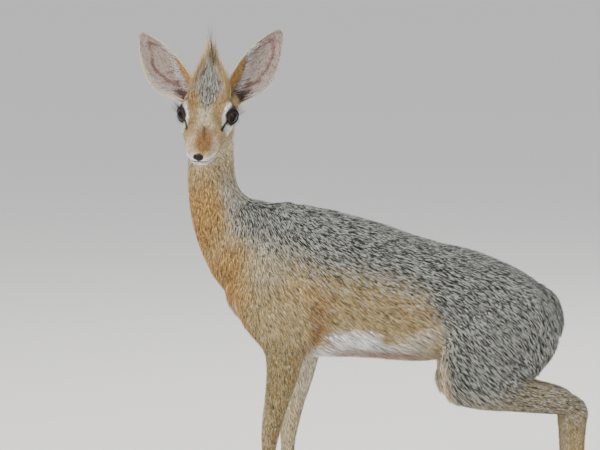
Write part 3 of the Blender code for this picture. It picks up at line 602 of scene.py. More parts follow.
under_eye = from_line(mirrored, ((0.0285, 0.004, -0.0130), (0.0245, 0.0215, -0.0115)))
lips = head * fade(along, 0.046, 0.056) * fade(up, -0.0195, -0.0240)
face_white = head * np.maximum(fade(eye_streak, 0.0046, 0.0026), fade(under_eye, 0.0072, 0.0048))
paint(white, np.maximum(face_white, lips))
slit_line = ((0.0262, 0.0130, -0.0012), (0.0236, 0.0175, -0.0030), (0.0200, 0.0300, -0.0066))
slit = head * fade(from_line(mirrored, slit_line), 0.0024, 0.0015)
mouth_line = (
    (0.0190, 0.0420, -0.0262), (0.0172, 0.0520, -0.0266), (0.0138, 0.0610, -0.0270),
    (0.0070, 0.0695, -0.0272), (0.0000, 0.0725, -0.0266),
)
mouth = head * fade(from_line(mirrored, mouth_line), 0.0021, 0.0009) * fade(along, 0.036, 0.050)
lid_gap = np.full(len(places), 9.0)
for name, centre in eye_centres.items():
    sideways, rise, ahead = ((places - np.array(centre)) @ np.array(eye_axes[name]).T).T
    gap = np.hypot(sideways / lid_half[0], rise / lid_half[1]) + 9.0 * ((ahead < 0) | (ahead > 0.02))
    lid_gap = np.minimum(lid_gap, gap)
lid_ring = fade(lid_gap, 1.42, 1.24)
paint(black, np.maximum.reduce([slit, mouth * 0.9, lid_ring]))
cheek_flecks = cheek * fade(along, 0.045, 0.030) * fade(along, -0.03, 0.0) * (1.0 - face_white)
grizzle += head * (kite * 0.95 + 0.40 * cheek_flecks + 0.14 * top_side * (1.0 - kite))
grizzle *= 1.0 - np.maximum.reduce([face_white, lips, slit, mouth, lid_ring, snout_top * 0.7])

# The ears: grizzled tan outside with an orange root and a cream rim, and thin bare skin inside,
# with painted shade in its furrows and in the hollow at its root.
ear_root = (0.0222, -0.0300, 0.0035)
ear_tip = {"left": (0.0797, -0.0489, 0.0884), "right": (0.0830, -0.0472, 0.0775)}
ear_half = ((0.0, 0.10, 0.20, 0.32, 0.45, 0.60, 0.76, 0.90, 1.0),
            (0.0105, 0.0150, 0.0210, 0.0268, 0.0282, 0.0258, 0.0195, 0.0112, 0.003),
            (0.0105, 0.0132, 0.0158, 0.0175, 0.0182, 0.0174, 0.0140, 0.0086, 0.003))
ear_share = np.zeros(len(places))
ear_across = np.zeros(len(places))
ear_cup = np.zeros(len(places))
ear_axes = {}
for name, turned in (("left", 1.0), ("right", -1.0)):
    root = on_head(turned * ear_root[0], ear_root[1], ear_root[2])
    tip = on_head(turned * ear_tip[name][0], ear_tip[name][1], ear_tip[name][2])
    run = (tip - root).normalized()
    outward = run.cross(head_along).normalized() * -turned
    fore = run.cross(outward).normalized() * turned
    ear_axes[name] = (run, outward, fore)
    offset = places - np.array(root)
    share = offset @ np.array(run) / (tip - root).length
    across = offset @ np.array(outward)
    outer, inner = (np.interp(share, ear_half[0], halves) for halves in ear_half[1:])
    half = np.where(across < 0, outer, inner)
    to_axis = np.array(root) + share[:, None] * np.array(tip - root) + np.array(fore) * 0.004 - places
    inside = fade((to_axis * normals).sum(axis=1) / np.linalg.norm(to_axis, axis=1), -0.10, 0.25)
    here = node_is["ear_" + name]
    ear_share[here] = share[here]
    ear_across[here] = (across / half)[here]
    ear_cup[here] = inside[here]
ear_cup = evened(ear_cup[:, None], 1)[:, 0]

ear_back = ears * (1.0 - ear_cup)
paint(pale_tan, ear_back)
paint(orange_tan, ear_back * fade(ear_share + mottle * 0.05, 0.42, 0.12) * 0.9)
paint(grey, ear_back * fade(ear_share, 0.25, 0.60) * 0.55)
ear_inside = ears * ear_cup
paint(ear_skin, ear_inside)
# Painted shade: dark furrows inside the ear that stand in for its folds.
ear_bend = ear_across + 0.12 * mottle
loop = np.abs(np.hypot(ear_bend / 0.58, (ear_share - 0.50) / 0.34) - 1.0) / 1.7
diagonals = np.abs(np.mod(ear_share * 6.2 + ear_bend * 0.9 + 0.3 * mottle, 1.0) - 0.5) * 0.5
diagonals += fade(ear_share, 0.42, 0.55) + fade(ear_share, 0.14, 0.07)
furrow_shading = ear_inside * fade(np.minimum(loop, diagonals), 0.120, 0.020) * fade(np.abs(ear_bend), 0.84, 0.66)
paint(ear_furrow_shade, furrow_shading * (0.75 + 0.35 * mottle))
fold_edge = np.interp(ear_share, (0.03, 0.18, 0.34, 0.48, 0.56), (0.20, 0.22, 0.36, 0.74, 1.05))
ear_fold = ear_inside * fade(ear_across - fold_edge, -0.02, 0.05)
paint(orange_tan, ear_fold * 0.95)
# Painted shade: the hollow at the root of the ear is painted near black.
ear_notch = ear_inside * fade(ear_share + 0.10 * ear_across, 0.19, 0.06)
ear_notch *= 1.0 - ear_fold
paint(hollow_shade_brown, ear_notch)
ear_rim = ears * fade(np.abs(ear_across), 0.88, 0.98)
paint(cream, ear_rim * 0.9)
grizzle = grizzle * (1.0 - ears) + ear_back * 0.45 * (1.0 - ear_rim)
grizzle = np.clip(grizzle, 0.0, 1.0)

# How many tufts stand on a square metre, and where the skin is bare.
nose_middle = (-0.0009, -0.0210)
nose_half = (0.0060, 0.0042)
on_nose = ((out - nose_middle[0]) / nose_half[0]) ** 2 + ((up - nose_middle[1]) / nose_half[1]) ** 2
nose_bare = head * fade(along, 0.060, 0.064) * fade(on_nose, 1.15, 0.95)
bare_ear = ear_inside * 0.75 * (1.0 - ear_rim) * (1.0 - ear_fold)
above_hoof = cannon * fade(z, 0.0150, 0.0130)
lid_edge = fade(lid_gap, 1.30, 1.20)
bare = np.maximum.reduce(
    [nose_bare, slit, mouth, lid_edge, bare_ear, ear_notch, bare_belly * 0.8, above_hoof],
)
tufts = sum(share * number for share, number in (
    (trunk + neck + tail, 720000.0), (head, 2200000.0), (ears, 1150000.0), (forearm + shank, 780000.0),
    (cannon, 1050000.0),
))
tufts *= np.clip(1.0 - bare, 0.0, 1.0)
fur_length *= 1.0 - 0.45 * ear_rim
fringe = np.maximum(belly_white * fade(aside, 0.012, 0.030), chest_white * 0.9)
fur_length += 0.0085 * fringe * (1.0 - bare_belly)
fetlock = np.zeros(len(places))
dewclaw_nodes = [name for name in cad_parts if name.startswith("dewclaw")]
for name in dewclaw_nodes:
    by_claw = np.linalg.norm(places - np.array(sum(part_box(name), Vector()) / 2), axis=1)
    by_claw = fade(by_claw, 0.014, 0.008)
    fur_length += 0.0035 * by_claw
    fetlock = np.maximum(fetlock, by_claw)
fur_length += 0.0012 * cannon * fade(z, 0.0240, 0.0170)
mane = fade(from_line(places, ((-0.124, middle_y, 0.402), (-0.110, middle_y, 0.389))), 0.018, 0.006)
fur_length += 0.0025 * mane - 0.0050 * before_withers
keep_on_skin("fur_length", fur_length)
hide = coat * (0.70 + 0.30 * np.clip(bare, 0.0, 1.0))[:, None]
nose_black = fade(nose_bare, 0.05, 0.30)[:, None]
hide = hide * (1.0 - nose_black) + np.array(black) * nose_black
velvet = np.clip(ear_inside * (1.0 - ear_fold) * (1.0 - ear_notch) * (1.0 - furrow_shading), 0.0, 1.0)
paint(velvet_tan, velvet * 0.5)
for name, colours in (("coat", coat), ("hide", hide)):
    keep_on_skin(name, np.column_stack([colours, np.ones(len(places))]), "FLOAT_COLOR")
keep_on_skin("grizzle", grizzle)
keep_on_skin("fur_width", 0.00024 + 0.058 * fur_length - 0.00010 * head)
keep_on_skin("tufts", tufts)
lift = coat_depth / fur_length * (1.0 - 0.7 * fade(withers, 0.030, 0.012))
lift = np.clip(lift + 0.12 * fringe + 0.35 * fetlock + 0.10 * mane, 0.06, 0.7)
keep_on_skin("lift", lift * (1.0 - 0.7 * before_withers))

# Which piece of the coat each face of the skin grows.
coat_pieces = (
    "coat_head_left", "coat_head_right", "coat_ears", "coat_neck", "coat_shoulder_left",
    "coat_shoulder_right", "coat_flank_left", "coat_flank_right", "coat_haunch_left",
    "coat_haunch_right", "coat_forelegs", "coat_hind_legs",
)
corners = np.empty(len(mesh.loops), int)
mesh.loops.foreach_get("vertex_index", corners)
first_corner = np.empty(len(mesh.polygons), int)
mesh.polygons.foreach_get("loop_start", first_corner)
face_point = corners[first_corner]
far_side = (y > middle_y).astype(int)
region = np.where(x < -0.045, 4, np.where(x < 0.085, 6, 8)) + far_side
region[node_is["neck"]] = 3
region[node_is["head"]] = (out < 0)[node_is["head"]]
for name in flesh_nodes:
    if name.startswith("ear"):
        region[node_is[name]] = 2
    elif name.endswith(("forearm", "cannon", "shank")):
        region[node_is[name]] = 10 if name.startswith("fore") else 11
keep_on_skin("region", region[face_point], "INT", "FACE")


def node_in(tree, kind, wires, **settings):
    """The first output of a new node with these settings, its inputs wired or set."""
    item = tree.nodes.new(kind)
    for key, value in settings.items():
        setattr(item, key, value)
    shown = [socket for socket in item.inputs if socket.enabled]
    for place, value in wires.items():
        socket = shown[place] if isinstance(place, int) else next(s for s in shown if s.name == place)
        if isinstance(value, bpy.types.NodeSocket):
            tree.links.new(value, socket)
        else:
            socket.default_value = value
    return next(socket for socket in item.outputs if socket.enabled)


def attribute(tree, name, output="Fac"):
    return node_in(tree, "ShaderNodeAttribute", {}, attribute_name=name).node.outputs[output]


def object_space(tree):
    return node_in(tree, "ShaderNodeTexCoord", {}).node.outputs["Object"]


def relief(tree, shader, height, strength, distance):
    wires = {"Strength": strength, "Distance": distance, "Height": height}
    tree.links.new(node_in(tree, "ShaderNodeBump", wires), shader.inputs["Normal"])


def grain(tree, shader, scale, detail, strength, distance):
    """Fine relief from noise laid through the piece's own space."""
    wires = {"Vector": object_space(tree), "Scale": scale, "Detail": detail}
    relief(tree, shader, node_in(tree, "ShaderNodeTexNoise", wires), strength, distance)


hide_material, hide_tree, hide_shader = new_material("hide", None, 0.78, 0.25)
hide_tree.links.new(attribute(hide_tree, "hide", "Color"), hide_shader.inputs["Base Color"])
grain(hide_tree, hide_shader, 900.0, 3.0, 0.35, 0.0006)
mesh.materials.clear()
mesh.materials.append(hide_material)
mesh.shade_smooth()
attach(skin, "root")
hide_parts(*flesh_nodes)


# The coat: hair that lies along the body in small tufts, each a slender bowed blade. One tree of
# nodes grows them from the skin, and each piece of the coat takes its own region of it.
def blade_mesh(name, rows):
    """A blade along Y: a point at its root and its tip, and rings of three between them."""
    shape = bmesh.new()
    share = shape.verts.layers.float.new("share")
    side_of = shape.verts.layers.float.new("side")
    rings = []
    for place, half, height in rows:
        corners = ((-half, 0.0), (half, 0.0), (0.0, 0.55 * half)) if half > 0 else ((0.0, 0.0),)
        ring = []
        for sideways, thick in corners:
            vert = shape.verts.new((sideways, place, height + thick))
            vert[share] = max(place, 0.0)
            vert[side_of] = sideways / max(half, 0.0001)
            ring.append(vert)
        rings.append(ring)
    for low, high in zip(rings, rings[1:]):
        for k in range(3):
            turn = (k + 1) % 3
            if len(low) == 1:
                shape.faces.new((low[0], high[turn], high[k]))
            elif len(high) == 1:
                shape.faces.new((low[k], low[turn], high[0]))
            else:
                shape.faces.new((low[k], low[turn], high[turn], high[k]))
    bmesh.ops.recalc_face_normals(shape, faces=shape.faces)
    bmesh.ops.triangulate(shape, faces=shape.faces)
    return placed(name, mesh_from(shape, name))


tuft = blade_mesh("tuft", ((-0.06, 0.0, -0.4), (0.38, 0.5, 0.7), (1.0, 0.0, 0.0)))
longest = 1.15
width_range = (0.75, 1.25)
streak_stretch = 0.56
streaks_a_metre = 600.0
bake_patch = 0.0015

growth = bpy.data.node_groups.new("growth", "GeometryNodeTree")
growth_inputs = {}
for label, kind in (
    ("geometry", "Geometry"), ("skin", "Object"), ("blade", "Object"), ("region", "Int"),
    ("seed", "Int"), ("density", "String"), ("length", "String"), ("lie", "String"),
    ("lift", "String"), ("width", "String"), ("disorder", "Float"),
    ("shortest", "Float"), ("material", "Material"),
):
    made = growth.interface.new_socket(label, in_out="INPUT", socket_type="NodeSocket" + kind)
    growth_inputs[label] = made.identifier
growth.interface.new_socket("tufts", in_out="OUTPUT", socket_type="NodeSocketGeometry")
given = growth.nodes.new("NodeGroupInput")


def step(kind, wires, **settings):
    return node_in(growth, kind, wires, **settings)


def named(name, kind):
    return step("GeometryNodeInputNamedAttribute", {"Name": name}, data_type=kind)


def asked(label, kind="FLOAT"):
    """The skin's values whose name is given to the tree under this label."""
    return named(given.outputs[label], kind)


def chance(low, high, offset):
    seed = step("ShaderNodeMath", {0: given.outputs["seed"], 1: float(offset)}, operation="ADD")
    return step("FunctionNodeRandomValue", {"Min": low, "Max": high, "Seed": seed}, data_type="FLOAT")


def times(first, second):
    return step("ShaderNodeMath", {0: first, 1: second}, operation="MULTIPLY")


def vector(operation, first, second):
    wires = {0: first, "Scale" if operation == "SCALE" else 1: second}
    return step("ShaderNodeVectorMath", wires, operation=operation)


def stored(geometry, name, value, kind="FLOAT", domain="POINT"):
    wires = {"Geometry": geometry, "Name": name, "Value": value}
    return step("GeometryNodeStoreNamedAttribute", wires, data_type=kind, domain=domain)


skin_shape, blade_shape = (
    step("GeometryNodeObjectInfo", {"Object": given.outputs[label]}).node.outputs["Geometry"]
    for label in ("skin", "blade")
)
whole_skin = step("ShaderNodeMath", {0: given.outputs["region"], 1: 0.0}, operation="LESS_THAN")
in_region = step(
    "FunctionNodeCompare", {0: named("region", "INT"), 1: given.outputs["region"]},
    data_type="INT", operation="EQUAL",
)
chosen = step("FunctionNodeBooleanMath", {0: whole_skin, 1: in_region}, operation="OR")
scattered = step("GeometryNodeDistributePointsOnFaces", {
    "Mesh": skin_shape, "Selection": chosen, "Density": asked("density"),
    "Seed": given.outputs["seed"],
})
upright = scattered.node.outputs["Normal"]
anywhere = {"Min": (-1.0,) * 3, "Max": (1.0,) * 3}
jitter = step("FunctionNodeRandomValue", anywhere, data_type="FLOAT_VECTOR")
strayed = vector("SCALE", jitter, given.outputs["disorder"])
heading = vector("ADD", asked("lie", "FLOAT_VECTOR"), vector("SCALE", upright, asked("lift")))
heading = vector("ADD", heading, strayed)
turned = step("FunctionNodeAlignRotationToVector", {"Vector": heading}, axis="Y")
turned = step(
    "FunctionNodeAlignRotationToVector", {"Rotation": turned, "Vector": upright}, axis="Z", pivot_axis="Y",
)
hair_length = times(asked("length"), chance(given.outputs["shortest"], longest, 1))
hair_width = times(asked("width"), chance(*width_range, 2))
size = step("ShaderNodeCombineXYZ", {"X": hair_width, "Y": hair_length, "Z": hair_width})
rooted = stored(scattered, "root_uv", named("OFBake", "FLOAT_VECTOR"), "FLOAT_VECTOR")
rooted = stored(rooted, "luck", chance(0.0, 1.0, 3))
rooted = stored(rooted, "reach", hair_length)
# Neighbouring tufts are alike in streaks that run along the lie of the coat.
here = step("GeometryNodeInputPosition", {})
way = asked("lie", "FLOAT_VECTOR")
run = vector("DOT_PRODUCT", here, way)
squeezed = vector("ADD", here, vector("SCALE", way, times(run, -streak_stretch)))
clump = step("ShaderNodeTexNoise", {"Vector": squeezed, "Scale": streaks_a_metre, "Detail": 1.0})
rooted = stored(rooted, "clump", clump)
planted = step("GeometryNodeInstanceOnPoints", {
    "Points": rooted, "Instance": blade_shape, "Rotation": turned, "Scale": size,
})
grown = step("GeometryNodeRealizeInstances", {"Geometry": planted})
for spare in ("OFBake", "lie", "lift", "fur_length", "fur_width", "tufts", "hide"):
    grown = step("GeometryNodeRemoveAttribute", {"Geometry": grown, "Name": spare})
patch = step("ShaderNodeCombineXYZ", {"X": named("side", "FLOAT"), "Y": named("share", "FLOAT")})
patch = vector("ADD", named("root_uv", "FLOAT_VECTOR"), vector("SCALE", patch, bake_patch))
grown = stored(grown, "OFBake", patch, "FLOAT2", "CORNER")
grown = step("GeometryNodeRemoveAttribute", {"Geometry": grown, "Name": "root_uv"})
grown = step("GeometryNodeSetShadeSmooth", {"Geometry": grown})
grown = step("GeometryNodeSetMaterial", {"Geometry": grown, "Material": given.outputs["material"]})
growth.links.new(grown, growth.nodes.new("NodeGroupOutput").inputs["tufts"])


def grow(name, slot, **values):
    """A piece of hair grown from the skin with these values of the growth tree."""
    piece = placed(name, bpy.data.meshes.new(name))
    modifier = piece.modifiers.new("growth", "NODES")
    modifier.node_group = growth
    modifier[growth_inputs["skin"]] = skin
    for label, value in values.items():
        modifier[growth_inputs[label]] = value
    applied(piece)
    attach(piece, "root")
    return piece


coat_material, coat_tree, coat_shader = new_material("coat_hair", None, 0.62, 0.3)


def shade(operation, *values):
    """A math node of the coat's material."""
    return node_in(coat_tree, "ShaderNodeMath", dict(enumerate(values)), operation=operation)


def blend(share, first, second):
    wires = {0: share, 1: first, 2: (*second, 1.0)}
    return node_in(coat_tree, "ShaderNodeMix", wires, data_type="RGBA", clamp_factor=True)


def between(value, low, high):
    return shade("MAXIMUM", shade("MINIMUM", value, high), low)


# Each tuft has a tint of its own and one of its streak, is darker at its root, partly by its own
# banding and partly by painted shade deep in the coat, and in the grizzled coat is black or pale
# where its streak and its luck say so. Only long hair has pale tips.
root_band_and_shade_brown = (0.05, 0.035, 0.022)
fleck_black = (0.030, 0.029, 0.026)
fleck_pale = (0.49, 0.50, 0.45)
tip_pale = (0.74, 0.60, 0.38)
darkest_tint = 0.25
fleck_edge = 5.0

flecked, luck, clumps, hair_share, reach = (
    attribute(coat_tree, name) for name in ("grizzle", "luck", "clump", "share", "reach")
)
tuft_tint = shade("MULTIPLY_ADD", shade("FRACT", shade("MULTIPLY", luck, 3.77)), 0.90, 0.48)
calmed = shade("MULTIPLY_ADD", flecked, -0.5, 1.0)
clump_tint = shade("MULTIPLY", shade("MULTIPLY_ADD", clumps, 3.0, -1.5), calmed)
tint = {
    0: attribute(coat_tree, "coat", "Color"),
    "Scale": shade("MAXIMUM", shade("ADD", tuft_tint, clump_tint), darkest_tint),
}
hair_colour = node_in(coat_tree, "ShaderNodeVectorMath", tint, operation="SCALE")
# The root's darkening: the hair's own banding, stronger in the grizzled coat, and painted shade deep in the
# coat.
root_depth = shade("MULTIPLY_ADD", flecked, 0.20, 0.16)
root_shade = shade("MULTIPLY", shade("SUBTRACT", 1.0, hair_share), root_depth)
hair_colour = blend(root_shade, hair_colour, root_band_and_shade_brown)
fleck = shade("MULTIPLY_ADD", luck, 1.1, shade("MULTIPLY", hair_share, 0.6))
fleck = shade("ADD", shade("MULTIPLY_ADD", clumps, 2.6, -1.60), fleck)
dark = shade("MULTIPLY_ADD", flecked, 1.4, shade("MULTIPLY_ADD", fleck, -1.0, -0.73))
dark = between(shade("MULTIPLY", dark, fleck_edge), 0.0, 0.94)
dark = shade("MULTIPLY", dark, shade("MINIMUM", shade("MULTIPLY", flecked, 3.0), 1.0))
hair_colour = blend(dark, hair_colour, fleck_black)
pale = shade("MULTIPLY_ADD", flecked, 0.8, shade("ADD", fleck, -1.35))
pale = between(shade("MULTIPLY", pale, fleck_edge), 0.0, 0.9)
pale = shade("MULTIPLY", pale, shade("MINIMUM", shade("MULTIPLY", flecked, 1.6), 1.0))
hair_colour = blend(pale, hair_colour, fleck_pale)
long_hair = shade("MINIMUM", shade("MULTIPLY_ADD", reach, 40.0, -0.8), 1.0)
long_hair = shade("MAXIMUM", shade("MULTIPLY", long_hair, hair_share), 0.0)
hair_colour = blend(shade("MULTIPLY", long_hair, 0.45), hair_colour, tip_pale)
coat_tree.links.new(hair_colour, coat_shader.inputs["Base Color"])

first_seed = 11
for number, name in enumerate(coat_pieces):
    grow(
        name, "ear" if name == "coat_ears" else "coat", blade=tuft, region=number,
        seed=first_seed + number, density="tufts", length="fur_length", lie="lie", lift="lift",
        width="fur_width", disorder=0.10, shortest=0.72, material=coat_material,
    )
drop(tuft)


# The crest: the long hair of the crown, which stands up and leans together to a point. Grizzled
# hair in front, tan at the sides and behind, and a few thin black wisps that pass the rest.
whole_skin_region = -1
crest_tufts = 3600000.0
wisp_tufts = 160000.0
crown_half = (0.0250, 0.0235)
crown_middle = -0.0135
crest_point = (0.0, -0.026, 0.0865)
wisp_point = (0.0010, -0.026, 0.0985)
crest_narrowing = 0.56
crest_fall = 2.1
brow_hair = 0.0085

crown_share = (out / crown_half[0]) ** 2 + ((along - crown_middle) / crown_half[1]) ** 2
on_crown = fade(crown_share, 1.05, 0.85) * fade(up, 0.006, 0.012) * node_is["head"]
tip_out = out * crest_narrowing
tip_up = crest_point[2] - crest_fall * np.abs(tip_out)
tip_along = crest_point[1] + 0.45 * (along - crown_middle)
to_tip = np.stack([tip_out, tip_along, tip_up], axis=1) - local
crest_length = np.linalg.norm(to_tip, axis=1)
crest_way = (to_tip / crest_length[:, None]) @ head_axes
brow = fade(along, -0.040, 0.008)
crest_way = crest_way * (1.0 - 0.75 * brow)[:, None] + lie * (0.75 * brow)[:, None]
crest_length = crest_length * (1.0 - brow) + brow_hair * brow
keep_on_skin("crest", on_crown * crest_tufts)
keep_on_skin("crest_length", crest_length)
keep_on_skin("crest_lie", crest_way, "FLOAT_VECTOR")
keep_on_skin("crest_lift", 0.25 * brow)
keep_on_skin("crest_width", 0.00042 + 0.005 * crest_length)

lock = blade_mesh("lock", ((-0.03, 0.0, -0.4), (0.15, 0.5, 0.8), (0.60, 0.36, 1.2), (1.0, 0.0, 0.0)))
grow(
    "crest", "coat", blade=lock, region=whole_skin_region, seed=31, density="crest",
    length="crest_length", lie="crest_lie", lift="crest_lift", width="crest_width", disorder=0.14,
    shortest=0.32, material=coat_material,
)

wisp_place = np.hypot(out - 0.001, along + 0.026)
to_wisp = np.array(wisp_point) - local
wisp_length = np.linalg.norm(to_wisp, axis=1)
keep_on_skin("wisps", (wisp_place < 0.0055) * (up > 0.0) * wisp_tufts)
keep_on_skin("wisp_width", 0.00095)
keep_on_skin("wisp_length", wisp_length)
keep_on_skin("wisp_lie", (to_wisp / wisp_length[:, None]) @ head_axes, "FLOAT_VECTOR")
wisp_material = new_material("black_hair", (0.014, 0.012, 0.011), 0.45)[0]
grow(
    "crest_wisps", "coat", blade=lock, region=whole_skin_region, seed=5, density="wisps",
    length="wisp_length", lie="wisp_lie", lift="crest_lift", width="wisp_width", disorder=0.07,
    shortest=0.80, material=wisp_material,
)


# The hair inside the ears: thin white locks rooted along the edge nearest the head and low along
# the outer edge, which sweep outwards and up over the bare skin.
ear_tufts = 650000.0
ear_hair = np.zeros(len(places))
ear_lie = np.zeros_like(places)
for name, (run, outward, fore) in ear_axes.items():
    here = node_is["ear_" + name]
    ear_lie[here] = np.array(run) * 0.85 - np.array(outward) * 0.62 + np.array(fore) * 0.10
    edge = ear_across - np.minimum(fold_edge, 0.97)
    near_head = fade(edge, -0.50, -0.10) * fade(edge, 0.03, -0.02) * fade(ear_share, 0.80, 0.60)
    outer_edge = 0.45 * fade(ear_across, -0.55, -0.80) * fade(ear_share, 0.55, 0.35)
    hairy = np.maximum(near_head, outer_edge) * (ear_cup > 0.5) * fade(ear_share, 0.02, 0.10)
    ear_hair[here] = hairy[here]
ear_lie -= normals * (ear_lie * normals).sum(axis=1)[:, None]
ear_lie /= np.maximum(np.linalg.norm(ear_lie, axis=1), 0.000001)[:, None]
keep_on_skin("ear_hair", ear_hair * ear_tufts)
keep_on_skin("ear_hair_length", 0.0125 - 0.006 * np.clip(ear_share, 0.0, 1.0))
keep_on_skin("ear_lie", ear_lie, "FLOAT_VECTOR")
keep_on_skin("ear_lift", 0.20)
keep_on_skin("ear_hair_width", 0.00030)
white_hair_material = new_material("white_hair", (0.72, 0.69, 0.65), 0.55)[0]
grow(
    "ear_hair", "ear", blade=lock, region=coat_pieces.index("coat_ears"), seed=41,
    density="ear_hair", length="ear_hair_length", lie="ear_lie", lift="ear_lift",
    width="ear_hair_width", disorder=0.16, shortest=0.55,
    material=white_hair_material,
)
drop(lock)


# The eyes: wet dark balls with a brown iris round a wide pupil, the cornea a little proud, in a
# rim of black skin. Stiff black lashes stand along both lids and sweep outwards.
ball_radius = eye_radius - 0.0002
iris_radius = 0.0064
cornea_rise = 0.0007
lid_reach = eye_radius + 0.0002
lid_steps = 40
lid_profile = ((-0.0003, -0.0010), (-0.0002, 0.0005), (0.0005, 0.0009), (0.0014, 0.0006), (0.0024, -0.0012))
lid_flattening = 0.12
upper_lashes = 24
lower_lashes = 10
lash_points = (0.0, 0.3, 0.65, 1.0)
lash_radii = (0.00022, 0.00020, 0.00014, 0.00003)
lash_spread = 0.10
lash_arcs = {True: (150.0, -165.0), False: (-25.0, -80.0)}


def ramp(tree, share, shader, first, last, *between):
    """Give the shader colours that pass into each other as the share goes from 0 to 1."""
    colour = node_in(tree, "ShaderNodeValToRGB", {"Fac": share})
    stops = colour.node.color_ramp.elements
    stops[0].color, stops[1].color = (*first, 1.0), (*last, 1.0)
    for position, tone in between:
        stops.new(position).color = (*tone, 1.0)
    tree.links.new(colour, shader.inputs["Base Color"])


eye_material, eye_tree, eye_shader = new_material("wet_eye", None, 0.06, 0.28)
eye_shader.inputs["IOR"].default_value = 1.34
ramp(
    eye_tree, attribute(eye_tree, "iris_share"), eye_shader,
    (0.003, 0.003, 0.004), (0.010, 0.006, 0.005),
    (0.46, (0.003, 0.003, 0.003)), (0.52, (0.040, 0.013, 0.006)),
    (0.62, (0.060, 0.020, 0.008)), (0.68, (0.006, 0.004, 0.003)),
)

lid_material, lid_tree, lid_shader = new_material("lid_skin", (0.011, 0.009, 0.009), 0.55, 0.15)
grain(lid_tree, lid_shader, 1500.0, 2.0, 0.3, 0.0002)


def add_tube(shape, line, radii, sides):
    """A tube through the points of a line with these radii, closed at both ends."""
    rings = []
    for number, point in enumerate(line):
        ahead = line[min(number + 1, len(line) - 1)] - line[max(number - 1, 0)]
        frame_up = ahead.orthogonal().normalized() if number == 0 else frame_up
        across = ahead.cross(frame_up).normalized()
        frame_up = across.cross(ahead).normalized()
        turns = [2.0 * math.pi * k / sides for k in range(sides)]
        spokes = [across * math.cos(turn) + frame_up * math.sin(turn) for turn in turns]
        rings.append([shape.verts.new(point + spoke * radii[number]) for spoke in spokes])
    bridge(shape, rings, closed=True)
    for ring in (rings[0][::-1], rings[-1]):
        shape.faces.new(ring)


def finished(name, shape, material, replaced=()):
    """The bmesh shape as a smooth piece of the model."""
    bmesh.ops.recalc_face_normals(shape, faces=shape.faces)
    piece = placed(name, mesh_from(shape, name))
    piece.data.shade_smooth()
    piece.data.materials.append(material)
    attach(piece, "root")
    if replaced:
        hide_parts(*replaced)


lash_random = np.random.default_rng(7)
for name, turned in (("left", 1.0), ("right", -1.0)):
    centre = eye_centres[name]
    eye_side, eye_up, gaze = eye_axes[name]
    ball = bmesh.new()
    bmesh.ops.create_uvsphere(ball, u_segments=64, v_segments=40, radius=1.0)
    iris_share = ball.verts.layers.float.new("iris_share")
    for vert in ball.verts:
        flat = math.hypot(vert.co.x, vert.co.y) * eye_radius
        ahead = vert.co.z > 0
        vert[iris_share] = min(flat / eye_radius, 1.0) if ahead else 1.0
        bulge = cornea_rise * math.cos(min(1.0, flat / iris_radius) * math.pi / 2.0) ** 2 if ahead else 0.0
        spot = vert.co * (ball_radius + bulge)
        vert.co = centre + eye_side * spot.x + eye_up * spot.y + gaze * spot.z
    finished("eyeball_" + name, ball, eye_material, ("eye_" + name,))

    rim = bmesh.new()
    rings = []
    for k in range(lid_steps):
        turn = 2.0 * math.pi * k / lid_steps
        sideways, rise = lid_half[0] * math.cos(turn), lid_half[1] * math.sin(turn)
        rise *= 1.0 - lid_flattening * abs(math.cos(turn)) ** 3
        away = Vector((sideways, rise, 0.0))
        ring = []
        for step_out, proud in lid_profile:
            flat = away * (1.0 + step_out / away.length)
            reach = lid_reach + proud
            depth = math.sqrt(max(reach ** 2 - flat.length_squared, 0.0))
            ring.append(rim.verts.new(centre + eye_side * flat.x + eye_up * flat.y + gaze * depth))
        rings.append(ring)
    bridge(rim, rings + rings[:1])
    finished("lids_" + name, rim, lid_material)

    lashes = bmesh.new()
    for k in range(upper_lashes + lower_lashes):
        upper = k < upper_lashes
        share = (k + 0.5) / upper_lashes if upper else (k - upper_lashes + 0.5) / lower_lashes
        turn = math.radians(lash_arcs[upper][0] + lash_arcs[upper][1] * share)
        flat = Vector((lid_half[0] * math.cos(turn), lid_half[1] * math.sin(turn), 0.0)) * 1.06
        base = centre + eye_side * flat.x + eye_up * flat.y
        base += gaze * math.sqrt((lid_reach + 0.0006) ** 2 - flat.length_squared)
        spread = Vector((math.cos(turn), math.sin(turn), 0.0))
        sweep_out = eye_side * (0.55 + 0.9 * share) + eye_up * (0.45 if upper else -0.55) + gaze * 0.35
        heading = (eye_side * spread.x + eye_up * spread.y) * 0.6 + sweep_out
        heading += Vector(lash_random.normal(0.0, lash_spread, 3))
        long = (0.0062 + 0.0055 * share) if upper else 0.0042
        long *= lash_random.uniform(0.8, 1.1)
        heading = heading.normalized() * long
        curl = (eye_up * 0.16 if upper else eye_up * -0.10) * long
        line = [base + heading * t + curl * t * t - gaze * 0.0006 * (1 - t) for t in lash_points]
        add_tube(lashes, line, lash_radii, 3)
    finished("lashes_" + name, lashes, wisp_material)

# The nose: a pad of bare wet black skin over the end of the muzzle, let into the hair round it,
# with a slanting nostril sunk in each side and a groove down its middle.
nose_steps = 40
nose_proud = 0.0006
nose_edge_sink = 0.0005
groove_depth = 0.0004
groove_half = 0.0004
ray_start = 0.12
nostril_place = (0.0036, 0.0006)
nostril_half = (0.0017, 0.0009)
nostril_turn = math.radians(38.0)
nostril_depth = 0.0026

